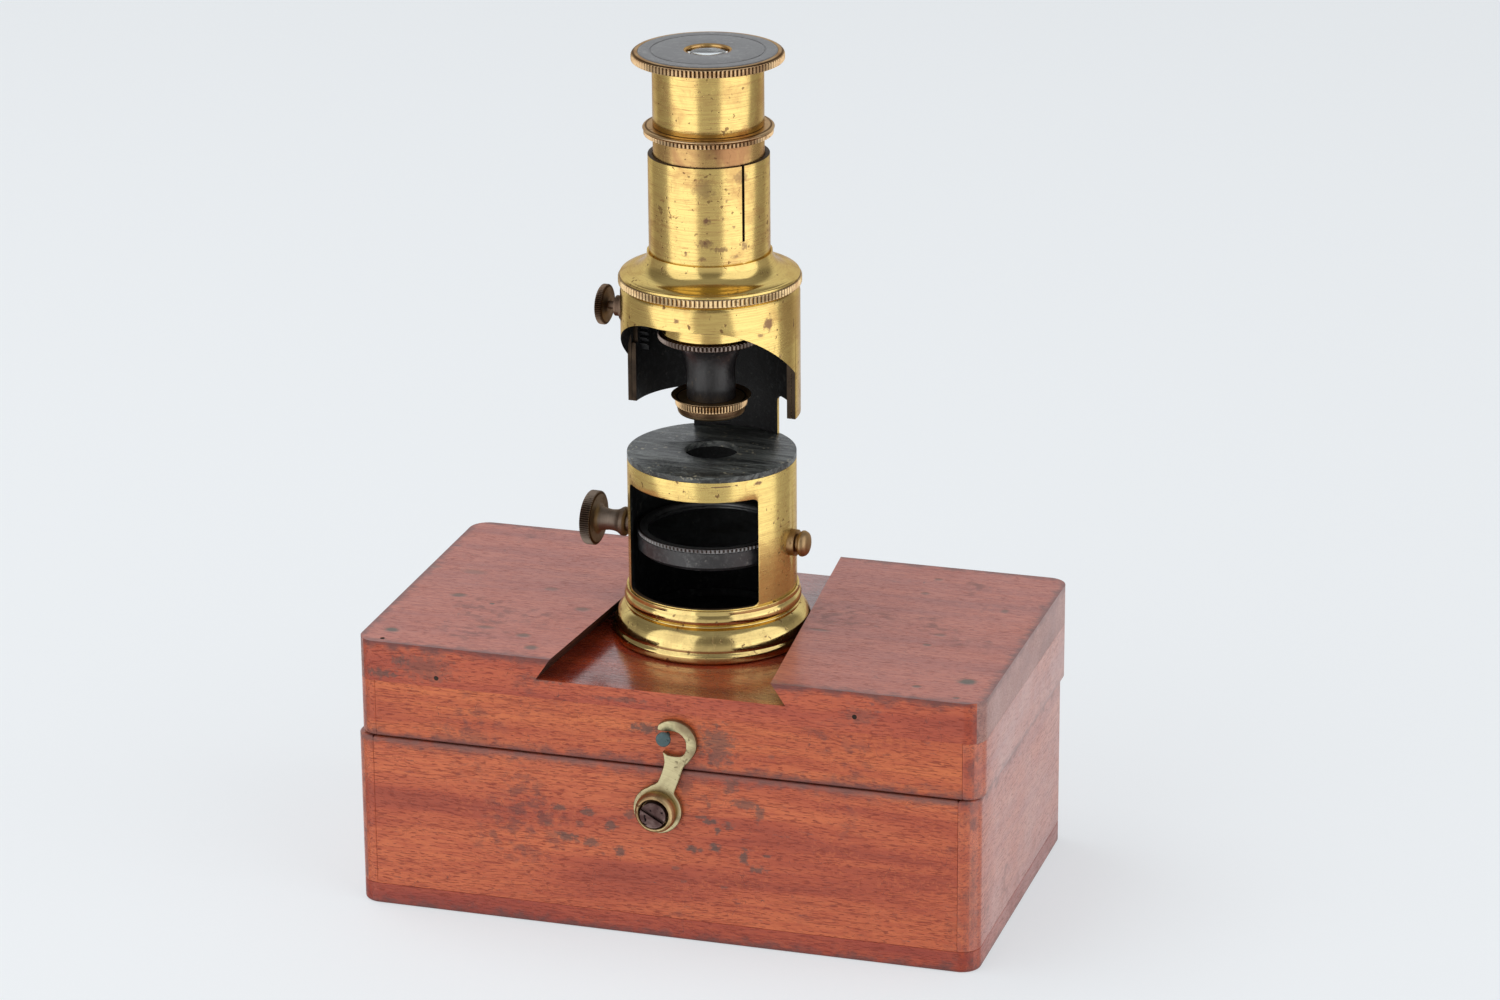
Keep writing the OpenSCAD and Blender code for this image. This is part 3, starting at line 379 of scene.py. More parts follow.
mirror_bronze = rim_metal("bronze of the mirror knob", ON_MIRROR_AXLE, (5.6, 0.4), (0.235, 0.19, 0.155),
                          (0.12, 0.078, 0.052), 0.5)
pinion_bronze = rim_metal("bronze of the focusing knob", ON_PINION, (4.1, 0.35), (0.20, 0.14, 0.10),
                          (0.09, 0.055, 0.038), 0.42)
pivot_brass = rim_metal("brass of the pivot screw", ON_MIRROR_AXLE, None, (0.40, 0.27, 0.14), rough=0.4)
washer_brass = turned_metal("brass of the washer", ON_LATCH, (0.50, 0.38, 0.20), (0.33, 0.20, 0.10),
                            rough=0.34, patina=0.8, lines=0.4)
screw_bronze = turned_metal("bronze of the latch screw", ON_LATCH, (0.24, 0.17, 0.16),
                            (0.07, 0.040, 0.038), (0.012, 0.008, 0.010), rough=0.40, patina=1.0,
                            spots=1.0, lines=0.3)
pin_green = turned_metal("green brass", ON_CATCH, (0.13, 0.20, 0.20), (0.06, 0.10, 0.11),
                         (0.02, 0.03, 0.03), rough=0.45, patina=0.9, metallic=0.3)
hook_brass = turned_metal("brass of the hook", ON_LATCH, (0.50, 0.45, 0.27), (0.24, 0.18, 0.11),
                          (0.12, 0.09, 0.05), rough=0.40, patina=0.85, lines=0.5, spots=0.5)
hinge_brass = turned_metal("brass of the hinges", UPRIGHT, (0.50, 0.38, 0.20), (0.28, 0.18, 0.09),
                           rough=0.38, patina=0.9, lines=0.3)
nail_iron = turned_metal("iron of the nails", UPRIGHT, (0.05, 0.04, 0.035), (0.03, 0.02, 0.018),
                         (0.01, 0.006, 0.005), rough=0.6, lines=0.2)

# Blacking inside the tubes; the same black is painted shade on the rack and pinion and inside the foot's
# socket
black_inside_and_shade = black_paint("black inside the tubes", UPRIGHT, (0.008, 0.008, 0.009), (0.11, 0.12, 0.12),
                          (0.16, 0.15, 0.13), 0.35, 0.6, 0.35)
# The stage's pale streak lines and the eyepiece disc's grey are rubbing and painted sheen
stage_black = black_paint("black of the stage", UPRIGHT, (0.014, 0.016, 0.016), (0.135, 0.145, 0.137),
                          (0.40, 0.36, 0.26), 0.9, 0.40, 0.55, rub_and_sheen_streaks=0.8)
disc_black = black_paint("black of the eyepiece disc", UPRIGHT, (0.115, 0.113, 0.116),
                         (0.25, 0.245, 0.24), (0.07, 0.06, 0.05), 0.75, 0.36, 0.6)
cell_black = black_paint("black of the mirror cell", ON_MIRROR_AXLE, (0.022, 0.022, 0.024),
                         (0.13, 0.13, 0.13), (0.20, 0.19, 0.17), 0.7, 0.36, 0.6)
bezel_black = rim_metal("black of the mirror ring", UPRIGHT, (15.3, 0.34), (0.26, 0.26, 0.265),
                        (0.10, 0.10, 0.105), 0.45)
objective_black = black_paint("black of the objective", UPRIGHT, (0.016, 0.015, 0.016),
                              (0.045, 0.042, 0.042), (0.14, 0.10, 0.06), 0.5, 0.32)
ring_black = rim_metal("bronze of the objective ring", UPRIGHT, (10.6, 0.4), (0.22, 0.18, 0.16),
                       (0.08, 0.055, 0.05))


# ---- Wood and glass ----

GRIME = (0.060, 0.030, 0.026)
PURPLE = (0.115, 0.048, 0.045)
STAIN = (0.095, 0.062, 0.052)
# Pale line under the seam: rubbing and a painted highlight
RUBBED_HIGHLIGHT = (0.44, 0.23, 0.18)
DENT = (0.055, 0.050, 0.030)
# Pale pink of dust and of painted sheen, the glare of the polish
DUST_AND_SHEEN = (0.60, 0.42, 0.40)


def wood(name, box, turn=0.0, shift=(0, 0, 0), light=(0.58, 0.135, 0.045), mid=(0.42, 0.070, 0.027),
         deep=(0.22, 0.028, 0.014), stains=(), dents=(), gloss=0.42, coat=0.12, rough=0.40, grime=0.75,
         dust_and_sheen=0.0, sheen_from=None, end_grain=False, worn_highlight_level=None):
    """Worn french-polished mahogany; box is the pair of corners (mm) whose edges carry grime. dust_and_sheen
    is a pale haze of dust and painted sheen, from sheen_from (mm along Y) on if given; worn_highlight_level
    is the height of a pale line of rubbing and painted highlight."""
    made, tree = new_material(name)
    here = place_in(tree)
    along = place_in(tree, tuple(v * MM for v in shift), (0, 0, turn))
    if end_grain:
        along = vector(tree, "MULTIPLY", along, (2.4, 0.5, 0.9))
    tone, fibre, pores, dashes, ripple = use(tree, WOOD, Place=along)
    ragged = noise(tree, along, (0.28, 0.42, 0.42), 5.0, 0.68)
    off = centred(tree, ragged)
    edge = use(tree, EDGE, Place=here, Low=box[0], High=box[1])[0]
    dirt = fade(tree, plus(tree, edge, times(tree, off, 9.0)), 2.4, -0.6, 0, grime)
    patch = times(tree, fade(tree, noise(tree, here, 0.045, 4.0, 0.6), 0.56, 0.68),
                  fade(tree, ragged, 0.46, 0.60))
    colour = layered(
        tree, mid, (fade(tree, tone, 0.38, 0.60), light),
        (fade(tree, fibre, 0.42, 0.62, 0, 0.62), mid), (fade(tree, fibre, 0.60, 0.72, 0, 0.45), deep),
        (fade(tree, tone, 0.47, 0.30, 0, 0.45), deep), (fade(tree, ripple, 0.0, 0.12, 0, 0.35), light),
        (times(tree, pores, 0.72), deep),
        (times(tree, dashes, fade(tree, ragged, 0.46, 0.62, 0, 0.70)), PURPLE),
        (fade(tree, edge, 1.1, 0.25, 0, grime * 0.8), deep),
        (dirt, PURPLE), (times(tree, patch, 0.55), PURPLE))
    marks = larger(tree, dirt, patch)
    spread = times(tree, centred(tree, noise(tree, here, (0.8, 0.8, 1.1), 4.0, 0.7)), 3.0)
    for mask in smudges(tree, here, stains, spread):
        colour = blend(tree, mask, colour, STAIN)
        marks = larger(tree, marks, mask)
    # A pale line under the seam: rubbing of the polish and a painted highlight of the case's rim
    if worn_highlight_level is not None:
        beside = plus(tree, apart(tree, parts_of(tree, here)[2], worn_highlight_level), times(tree, off, 1.6))
        colour = blend(tree, fade(tree, beside, 0.85, 0.2, 0, 0.15), colour, RUBBED_HIGHLIGHT)
    scratch = use(tree, TARNISH, Place=here)[3]
    colour = blend(tree, times(tree, scratch, 0.75), colour, GRIME)
    sunk = larger(tree, pores, scratch)
    if dents:
        pits = larger(tree, *smudges(tree, here, dents, off))
        colour = blend(tree, pits, colour, DENT)
        marks = larger(tree, marks, pits)
        sunk = larger(tree, sunk, times(tree, pits, 3.0))
    if dust_and_sheen:
        # A pale haze of dust and painted sheen, standing in for the polish's glare at a glancing angle
        dust_and_sheen_mask = fade(tree, noise(tree, here, 0.08, 4.0, 0.65), 0.25, 0.70, 0.6 * dust_and_sheen, dust_and_sheen)
        if sheen_from is not None:
            back = plus(tree, parts_of(tree, here)[1], times(tree, off, 8.0))
            dust_and_sheen_mask = times(tree, dust_and_sheen_mask, fade(tree, back, sheen_from, sheen_from + 16.0, 0.12, 1.0))
        colour = blend(tree, dust_and_sheen_mask, colour, DUST_AND_SHEEN)
    roughness = plus(tree, rough, times(tree, larger(tree, marks, pores), 0.22),
                     times(tree, centred(tree, fibre), 0.22))
    bump = bumps(tree, (noise(tree, here, 0.06), 0.0007, 0.3), (ripple, 0.00022, 0.3),
                 (fibre, 0.00005, 0.5), (sunk, -0.00008, 0.6))
    return finish_material(made, tree, Base_Color=colour, Roughness=roughness, Normal=bump,
                           Specular_IOR_Level=gloss, Coat_Weight=coat, Coat_Roughness=0.16)


def millimetres(*corners):
    return [tuple(v / MM for v in corner) for corner in corners]


def on_front(rows):
    """Stains on the front, from (X, Z, half width, half height, strength) rows in millimetres."""
    return [(x, -36, z, wide, 6, tall, strength) for x, z, wide, tall, strength in rows]


def on_top(rows):
    """Dents in the lid's top, from (X, Y, half width, half depth, strength) rows in millimetres."""
    return [(x, y, 57.5, wide, deep, 3, strength) for x, y, wide, deep, strength in rows]


CASE_BOX = millimetres(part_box("base_board")[0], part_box("case_right_end")[1])
LID_BOX = millimetres(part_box("lid_left_end")[0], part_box("lid_top")[1])
FRONT_CORNER = -37.0
LATCH_STAINS = on_front([
    (11.8, 42.9, 4.6, 5.4, 0.62), (-3.2, 45, 3.6, 1.3, 0.75), (6.7, 20.1, 2, 1, 0.8),
    (11.1, 20.9, 1.5, 1.1, 0.85), (17.3, 19.7, 1.1, 2.2, 0.8), (19.8, 17.2, 2.5, 0.8, 0.7),
    (10.2, 26.4, 1.9, 0.8, 0.8), (11.7, 24.8, 1, 0.9, 0.8), (8.4, 27.2, 1.3, 0.6, 0.7),
    (14, 26.1, 1.5, 1, 0.65), (17.5, 31.1, 3.3, 1.5, 0.6), (20.4, 29.4, 1.2, 2.3, 0.6),
    (14.4, 34.7, 2.1, 2.2, 0.6), (2.8, 15.6, 1.1, 0.6, 0.5), (21.8, 20.4, 0.9, 0.5, 0.7),
    (13.2, 12.6, 1.3, 0.5, 0.6), (4.4, 12.7, 1, 0.5, 0.5), (22.9, 42, 0.8, 0.7, 0.4),
    (10, 29.9, 0.6, 0.8, 0.5), (-21.8, 25.7, 2, 1, 0.7), (-15.5, 25.7, 1.8, 1.2, 0.75),
    (-10.6, 23.4, 1.6, 1.6, 0.75), (-19.8, 19.7, 3.1, 1.2, 0.75), (-14.7, 19, 2, 1.2, 0.7),
    (-8.8, 17.8, 1.4, 1.4, 0.75), (-6.4, 26, 1.6, 1.2, 0.6), (-23.8, 21.9, 1.2, 0.8, 0.5),
    (-17.3, 22.8, 1.2, 0.8, 0.5)])
NAIL_STAINS = on_front([
    (-49.7, 53, 7.5, 3.6, 0.45), (-58.6, 50.8, 3.5, 1.3, 0.7), (-54.6, 54, 2.2, 1.2, 0.5),
    (-24, 53.2, 5, 0.9, 0.6), (41, 52.5, 4, 2.4, 0.35), (-8, 50.6, 6, 0.7, 0.5)])
TOP_DENTS = on_top([
    (-59, -29.1, 2.2, 1.5, 1), (-52.6, -7, 2.4, 1.5, 0.8), (-44.3, -9.7, 0.8, 0.6, 0.9),
    (-32.3, -24.8, 2, 1.4, 0.75), (-28.5, -30.8, 1.9, 1.5, 0.8), (-35.4, 1.6, 2, 1.2, 0.5),
    (-25.6, -7.7, 2.4, 1.5, 0.65), (-62.9, 7.7, 2, 1.2, 0.45), (-41.1, -22.5, 2.6, 1.2, 0.5),
    (-54, 6.7, 3.4, 1.6, 0.4), (59.8, -24.6, 2.7, 1.9, 1), (50.9, -29.7, 1.2, 0.9, 0.8),
    (59.8, -33.4, 1.1, 0.8, 0.8), (24, -5.6, 3.2, 0.9, 0.6), (48.2, -1.7, 1.6, 1, 0.5),
    (39.3, 20.1, 1.3, 0.9, 0.6), (39.8, 28.6, 1.2, 0.9, 0.6), (57.5, 14.5, 1.2, 1.4, 0.6),
    (47.1, -7.7, 1.1, 0.8, 0.7)])
BASE_MID = (0.30, 0.036, 0.018)
BASE_LIGHT = (0.42, 0.070, 0.026)
front_wood = wood("mahogany of the front", CASE_BOX, stains=LATCH_STAINS, worn_highlight_level=36.3)
lid_front_wood = wood("mahogany of the lid front", LID_BOX, shift=(13, 4, 7), stains=LATCH_STAINS,
                      light=(0.61, 0.150, 0.045), mid=(0.45, 0.080, 0.028))
# The ends, the lid's top and the end grain carry a pale haze of dust and painted sheen
end_wood = wood("mahogany of the case ends", CASE_BOX, QUARTER, (5, 31, 2), dust_and_sheen=0.50, gloss=0.55,
                coat=0.3, sheen_from=FRONT_CORNER)
lid_end_wood = wood("mahogany of the lid ends", LID_BOX, QUARTER, (9, 17, 11), dust_and_sheen=0.64,
                    gloss=0.55, coat=0.3, sheen_from=FRONT_CORNER)
strip_wood = wood("end grain on the front", CASE_BOX, shift=(3, 6, 9), end_grain=True, dust_and_sheen=0.06)
top_wood = wood("mahogany of the top", LID_BOX, shift=(40, 22, 3), mid=(0.36, 0.062, 0.030),
                light=(0.47, 0.100, 0.042), gloss=0.55, coat=0.3, dents=TOP_DENTS, dust_and_sheen=0.14)
lid_edge_wood = wood("mahogany of the lid top's edge", LID_BOX, shift=(70, 12, 3),
                     mid=(0.40, 0.064, 0.028), light=(0.55, 0.118, 0.042), stains=NAIL_STAINS)
top_end_wood = wood("end grain of the lid top", LID_BOX, shift=(3, 6, 9), end_grain=True,
                    mid=(0.30, 0.11, 0.08), light=(0.42, 0.20, 0.15), deep=(0.15, 0.07, 0.06),
                    dust_and_sheen=0.55, sheen_from=-39.0, rough=0.5)
groove_wood = wood("mahogany of the groove floor", LID_BOX, shift=(22, 60, 3),
                   mid=(0.24, 0.026, 0.010), light=(0.36, 0.050, 0.014), deep=(0.10, 0.012, 0.008),
                   gloss=0.6, coat=1.0, rough=0.22, grime=0.4)
# The groove's walls are nearly black: painted shade inside the narrow groove, with a little wood colour
groove_wall_shade = wood("mahogany of the groove walls", LID_BOX, QUARTER, (22, 60, 3),
                        mid=(0.045, 0.016, 0.009), light=(0.10, 0.034, 0.017),
                        deep=(0.012, 0.006, 0.005), gloss=0.3, coat=0.0, rough=0.6)
base_wood = wood("mahogany of the bottom board", CASE_BOX, shift=(60, 5, 9),
                 mid=BASE_MID, light=BASE_LIGHT)
# The bottom board's ends carry the pale haze of dust and painted sheen
base_end_wood = wood("mahogany of the bottom board's ends", CASE_BOX, QUARTER, (60, 5, 9),
                     mid=BASE_MID, light=BASE_LIGHT, dust_and_sheen=0.36, sheen_from=FRONT_CORNER)
cradle_wood = wood("wood of the cradles", CASE_BOX, QUARTER, (80, 2, 9),
                   mid=(0.42, 0.19, 0.085), light=(0.55, 0.29, 0.14), deep=(0.22, 0.085, 0.04),
                   gloss=0.3, coat=0.0, grime=0.2)


def clear_glass(name, tint):
    made, tree = new_material(name)
    place = place_in(tree)
    dust = fade(tree, noise(tree, place, 1.4, 4.0, 0.7), 0.52, 0.75)
    colour = blend(tree, times(tree, dust, 0.4), tint, (0.75, 0.78, 0.78))
    bump = bumps(tree, (noise(tree, place, 0.5), 0.00004, 0.3))
    return finish_material(made, tree, Base_Color=colour, Roughness=plus(tree, 0.02, times(tree, dust, 0.10)),
                           Transmission_Weight=1.0, IOR=1.52, Normal=bump)


def silvered_glass(name, axis):
    made, tree = new_material(name)
    place = place_in(tree, *axis)
    cloud = use(tree, TARNISH, Place=place)[1]
    bump = bumps(tree, (noise(tree, place, 0.3), 0.0001, 0.2))
    return finish_material(made, tree, Base_Color=blend(tree, cloud, (0.60, 0.63, 0.64), (0.22, 0.21, 0.19)),
                           Metallic=1.0, Roughness=plus(tree, 0.05, times(tree, cloud, 0.2)),
                           Coat_Weight=0.5, Normal=bump)


lens_glass = clear_glass("lens glass", (0.93, 0.97, 0.98))
mirror_glass = silvered_glass("silvered glass", ON_MIRROR_AXLE)

# What every CAD node is made of; the rack and pinion get black as painted shade, and the end boards and the
# lid's top carry painted sheen
HINGES = " ".join(name for name in frame["nodes"] if "hinge" in name)
MATERIALS = {name: made for made, names in (
    (base_wood, "base_board"), (front_wood, "case_front case_back"),
    (end_wood, "case_left_end case_right_end"), (top_wood, "lid_top"),
    (lid_front_wood, "lid_front lid_back"), (lid_end_wood, "lid_left_end lid_right_end"),
    (cradle_wood, "foot_cradle tube_cradle"),
    (hinge_brass, HINGES), (washer_brass, "latch_washer"), (screw_bronze, "latch_screw"),
    (hook_brass, "latch_hook"),
    (pin_green, "catch_pin"), (nail_iron, "lid_brads"), (drum_brass, "drum_tube"),
    (brass, "foot upper_shell shell_cap draw_tube_ring nosepiece eyepiece_rim"),
    (brass_tube, "sleeve eyepiece_tube"), (draw_brass, "draw_tube"), (stage_black, "stage_plate"),
    # The rack and pinion take the black as painted shade, so that they sink into the dark of the shell
    (black_inside_and_shade, "focus_rack pinion_gear field_stop"), (cell_black, "mirror_cell"),
    (bezel_black, "mirror_bezel"), (mirror_bronze, "axle_bush_left mirror_shaft mirror_knob"),
    (pivot_brass, "axle_bush_right pivot_screw"), (mirror_glass, "mirror_glass"),
    (pinion_bronze, "pinion_bush pinion_shaft focus_knob"), (ring_black, "objective_ring"),
    (objective_black, "objective_body objective_cap"), (disc_black, "eyepiece_disc"),
    (lens_glass, "objective_front_lens objective_back_lens eye_lens field_lens"),
) for name in names.split()}
BODY_OF = {name: body for body, names in frame["record"]["behaviour"]["bodies"].items() for name in names}
for name, obj in frame["nodes"].items():
    obj.data.materials.clear()
    obj.data.materials.append(MATERIALS[name])


# ---- Making pieces ----

SHARP_CAD = 35
SHARP_TURNED = 32
SHARP_OTHER = 40
ROUNDING = 0.12


def add_object(name, data):
    obj = bpy.data.objects.new(name, data)
    bpy.context.scene.collection.objects.link(obj)
    return obj


def settle(name, bm, replaced, materials, sharp=SHARP_OTHER):
    """Turns a finished bmesh (metres, in place) into a piece that rides where its CAD nodes do."""
    mesh = bpy.data.meshes.new(name)
    bm.to_mesh(mesh)
    bm.free()
    mesh.shade_smooth()
    mesh.set_sharp_from_angle(angle=math.radians(sharp))
    for one in materials:
        mesh.materials.append(one)
    obj = add_object(name, mesh)
    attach(obj, BODY_OF[replaced[0]])
    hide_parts(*replaced)
    return obj


def weighted(obj):
    """Flat faces keep flat normals beside narrow rounded edges."""
    obj.modifiers.new("flat faces", "WEIGHTED_NORMAL").keep_sharp = True


INSTRUMENT = (Matrix.Translation((0, 0, FOOT_LEVEL)) @ Matrix.Rotation(UP_TURN, 4, "Z")
              @ Matrix.Scale(MM, 4))
ON_LEFT = Matrix.Rotation(-QUARTER, 4, "Y")
ON_RIGHT = Matrix.Rotation(QUARTER, 4, "Y")
AT_MIRROR = INSTRUMENT @ Matrix.Translation((0, 0, MIRROR_HEIGHT))
AT_PINION = INSTRUMENT @ Matrix.Translation((0, 0, PINION_HEIGHT))
FORWARD = Matrix.Rotation(QUARTER, 4, "X")


def rounded(bm, parts, size, segments, affect="EDGES"):
    bmesh.ops.bevel(bm, geom=parts, offset=size, offset_type="OFFSET", segments=segments, profile=0.5,
                    affect=affect, material=-1, clamp_overlap=True)


def painted(bm, material, paints):
    """Gives faces other materials; each paint is (material, test of a face's middle and normal)."""
    bm.normal_update()
    for index, (paint, test) in enumerate(paints, 1):
        for face in bm.faces:
            if test(face.calc_center_median(), face.normal):
                face.material_index = index
    return [material] + [paint for paint, test in paints]


def vertices(parts):
    return [part for part in parts if isinstance(part, bmesh.types.BMVert)]


def turned(name, outline, replaced, material, place=INSTRUMENT, steps=192, closed=True, knurl=None,
           paints=()):
    """A lathe piece. outline has (radius, height[, rounding]) points in millimetres; knurl is
    (teeth, depth, low, high): ridges cut in the outer wall between two heights. One eighth is spun and
    doubled three times."""
    bm = bmesh.new()
    points = [bm.verts.new((p[0], 0, p[1])) for p in outline]
    for a, b in zip(points, points[1:] + points[:1] if closed else points[1:]):
        bm.edges.new((a, b))
    for point, p in zip(points, outline):
        size = p[2] if len(p) > 2 else ROUNDING
        if size and p[0] > 0 and len(point.link_edges) == 2:
            rounded(bm, [point], size, 3, "VERTICES")
    if knurl:
        teeth, depth, low, high = knurl
        steps = teeth * 4
        limit = max(p[0] for p in outline if low <= p[1] <= high) * 0.96
        band = [e for e in bm.edges if all(low - 0.01 <= v.co.z <= high + 0.01 for v in e.verts)
                and min(v.co.x for v in e.verts) > limit and e.calc_length() > 0.25]
        bmesh.ops.subdivide_edges(bm, edges=band, cuts=5)
    bmesh.ops.spin(bm, geom=bm.verts[:] + bm.edges[:], cent=(0, 0, 0), axis=(0, 0, 1), dvec=(0, 0, 0),
                   angle=math.pi / 4, steps=steps // 8, use_merge=False, use_duplicate=False)
    for share in (8, 4, 2):
        again = bmesh.ops.duplicate(bm, geom=bm.verts[:] + bm.edges[:] + bm.faces[:])["geom"]
        bmesh.ops.rotate(bm, cent=(0, 0, 0), matrix=Matrix.Rotation(2 * math.pi / share, 3, "Z"),
                         verts=vertices(again))
    bmesh.ops.remove_doubles(bm, verts=bm.verts[:], dist=0.0005)
    for v in bm.verts if knurl else ():
        radius = math.hypot(v.co.x, v.co.y)
        if low < v.co.z < high and radius > limit:
            share = min(1.0, min(v.co.z - low, high - v.co.z) / 0.16)
            valley = math.cos(math.atan2(v.co.y, v.co.x) * teeth) * 0.5 + 0.5
            factor = 1 - depth * share * valley / radius
            v.co.x *= factor
            v.co.y *= factor
    bmesh.ops.recalc_face_normals(bm, faces=bm.faces[:])
    materials = painted(bm, material, paints)
    bm.transform(place)
    return settle(name, bm, [replaced], materials, SHARP_TURNED)


def any_edge(edge):
    return True


def softened(source, name, rounding, material, segments=2, paints=()):
    """A CAD node's own shape with its sharp edges rounded; rounding is a width in metres or a list of
    (width, test of an edge)."""
    bm = bmesh.new()
    bm.from_mesh(frame["nodes"][source].data)
    bmesh.ops.remove_doubles(bm, verts=bm.verts[:], dist=1e-6)
    bmesh.ops.dissolve_limit(bm, angle_limit=math.radians(0.5), verts=bm.verts[:], edges=bm.edges[:],
                             delimit=set())
    bmesh.ops.recalc_face_normals(bm, faces=bm.faces[:])
    for size, wanted in (rounding if isinstance(rounding, list) else [(rounding, any_edge)]):
        edges = [e for e in bm.edges if len(e.link_faces) == 2
                 and e.calc_face_angle(0) > math.radians(SHARP_CAD) and wanted(e)]
        if edges:
            rounded(bm, edges, size, segments)
    return settle(name, bm, [source], painted(bm, material, paints))


def outward(middle, normal):
    """How far a face looks away from the instrument's axis, -1 to 1."""
    return normal.dot(Vector((middle.x, middle.y, 0)).normalized())


def faces_axis(middle, normal):
    return outward(middle, normal) < -0.35


def cut_edge(middle, normal):
    return abs(outward(middle, normal)) < 0.5


# Cut edges get painted shade; faces towards the axis get the blacking inside the tubes
TUBE_PAINTS = [(cut_edge_shade, cut_edge), (black_inside_and_shade, faces_axis)]


# ---- Case and lid ----

TOP_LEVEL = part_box("lid_top")[1].z
SEAM_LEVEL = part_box("case_front")[1].z
GROOVE_LEVEL = TOP_LEVEL - 0.0045
SMALL_EDGE = 0.00016


def on_rim(edge):
    """An edge round the outside of the lid's top face."""
    return all(v.co.z > TOP_LEVEL - 1e-5 for v in edge.verts)


def on_table(edge):
    return all(v.co.z < 1e-5 for v in edge.verts)


def at_seam(edge):
    """An edge along the gap between case and lid."""
    return all(abs(v.co.z - SEAM_LEVEL) < 0.0003 for v in edge.verts)


def looks_along_case(middle, normal):
    """A strip of end grain that shows on the front or back."""
    return abs(normal.y) > 0.8


def looks_to_side(middle, normal):
    return abs(normal.x) > 0.8


def groove_wall(middle, normal):
    return (abs(middle.x) < 0.030 and middle.z < TOP_LEVEL - 0.0004 and normal.z < 0.5
            and abs(normal.x) > 0.5)


def groove_floor(middle, normal):
    return normal.z > 0.9 and abs(middle.z - GROOVE_LEVEL) < 0.0005


def board_edge(middle, normal):
    return abs(normal.y) > 0.6


def board_end(middle, normal):
    return abs(normal.x) > 0.6 and abs(middle.x) > 0.055


# The left ends look like the boards beside them on the front, the right ends show end grain
STRIPS = {"case_left_end": front_wood, "case_right_end": strip_wood, "lid_left_end": lid_front_wood,
          "lid_right_end": strip_wood}
for source in ("case_front", "case_back", "lid_front", "lid_back", *STRIPS):
    weighted(softened(source, "board_" + source, [(0.00038, at_seam), (SMALL_EDGE, any_edge)],
                      MATERIALS[source],
                      paints=[(STRIPS[source], looks_along_case)] if source in STRIPS else ()))
weighted(softened("base_board", "board_base", [(0.0005, on_table), (SMALL_EDGE, any_edge)], base_wood,
                  paints=[(base_end_wood, looks_to_side)]))
weighted(softened("lid_top", "board_lid_top", [(0.0007, on_rim), (0.0002, any_edge)], top_wood, segments=3,
                  paints=[(lid_edge_wood, board_edge), (groove_wall_shade, groove_wall),
                          (groove_wood, groove_floor), (top_end_wood, board_end)]))


# ---- Latch ----

def arc(centre, radius, start, end, step=8):
    """Points of an arc, from one angle to another in degrees."""
    count = max(2, round(abs(end - start) / step))
    turns = [math.radians(start + (end - start) * i / count) for i in range(count + 1)]
    return [(centre[0] + radius * math.cos(t), centre[1] + radius * math.sin(t)) for t in turns]


# The hook in millimetres about its pivot: curl, tip, mouth, lip, arm and eye
CURL = (3.55, 14.78)
BEND = [(-3.31, 2.56), (-2.9, 2.42), (-1.9, 2.33), (-1.2, 2.42), (-0.5, 2.48), (0.3, 2.48), (1.1, 2.25),
        (1.8, 1.75), (2.3, 1.1), (2.55, 0.4), (2.62, -0.4), (2.58, -1.2), (2.35, -1.9), (1.85, -2.55),
        (1.3, -2.78), (0.64, -2.84), (-0.4, -2.82), (-1.26, -2.7), (-2.25, -2.1), (-2.1, -2.9),
        (-1.93, -4.2), (-2.12, -5.3), (-2.55, -6.7), (-3.0, -7.9), (-3.35, -8.7), (-3.95, -9.25),
        (-4.7, -9.6)]
ARM_RIGHT = [(-0.1, -10.85), (0.12, -10.3), (0.51, -9.3), (0.95, -8.1), (1.35, -6.9), (1.68, -5.8),
             (1.95, -5.1), (2.4, -4.5), (3.0, -3.95)]


def beside_curl(points):
    return [(CURL[0] + x, CURL[1] + z) for x, z in points]


def plate(bm, outline, hole):
    """A flat face inside an outline with a hole in it."""
    for points in (outline, hole):
        ring = [bm.verts.new((x, 0, z)) for x, z in points]
        for first, second in zip(ring, ring[1:] + ring[:1]):
            bm.edges.new((first, second))
    bmesh.ops.triangle_fill(bm, use_beauty=True, use_dissolve=False, edges=bm.edges[:])


def at_latch(depth):
    """Millimetres about the latch's screw, set in place; depth is along Y, in metres."""
    return Matrix.Translation((LATCH_CENTRE[0], depth, LATCH_CENTRE[2])) @ Matrix.Scale(MM, 4)


hook_low, hook_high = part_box("latch_hook")
hook_mesh = bmesh.new()
plate(hook_mesh, arc(CURL, 4.72, -36, 132, 6) + beside_curl(BEND) + arc((0, 0), 5.0, 114, 402, 8)
      + beside_curl(ARM_RIGHT), arc((0, 0), 1.3, 345, 0, 15))
grown = bmesh.ops.extrude_face_region(hook_mesh, geom=hook_mesh.faces[:])["geom"]
thick = (hook_high.y - hook_low.y) / MM
bmesh.ops.translate(hook_mesh, verts=vertices(grown), vec=(0, -thick, 0))
bmesh.ops.recalc_face_normals(hook_mesh, faces=hook_mesh.faces[:])
rims = [e for e in hook_mesh.edges
        if e.calc_face_angle(0) > 1.3 and all(v.co.y < -thick / 2 for v in e.verts)]
rounded(hook_mesh, rims, 0.22, 3)
hook_mesh.transform(at_latch(hook_high.y))
weighted(settle("hook", hook_mesh, ["latch_hook"], [hook_brass]))
weighted(softened("latch_screw", "screw_of_latch", 0.0005, screw_bronze, segments=4))
weighted(softened("catch_pin", "pin_of_catch", 0.00045, pin_green, segments=4))
turned("cup_washer",
       [(1.25, 0), (4.15, 0), (4.25, 0.5), (4.15, 1.5), (3.85, 2.2), (3.45, 2.55), (3.15, 2.45),
        (2.95, 2.0), (2.9, 1.45), (1.25, 1.45)],
       "latch_washer", washer_brass, at_latch(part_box("latch_washer")[1].y) @ FORWARD, steps=96)


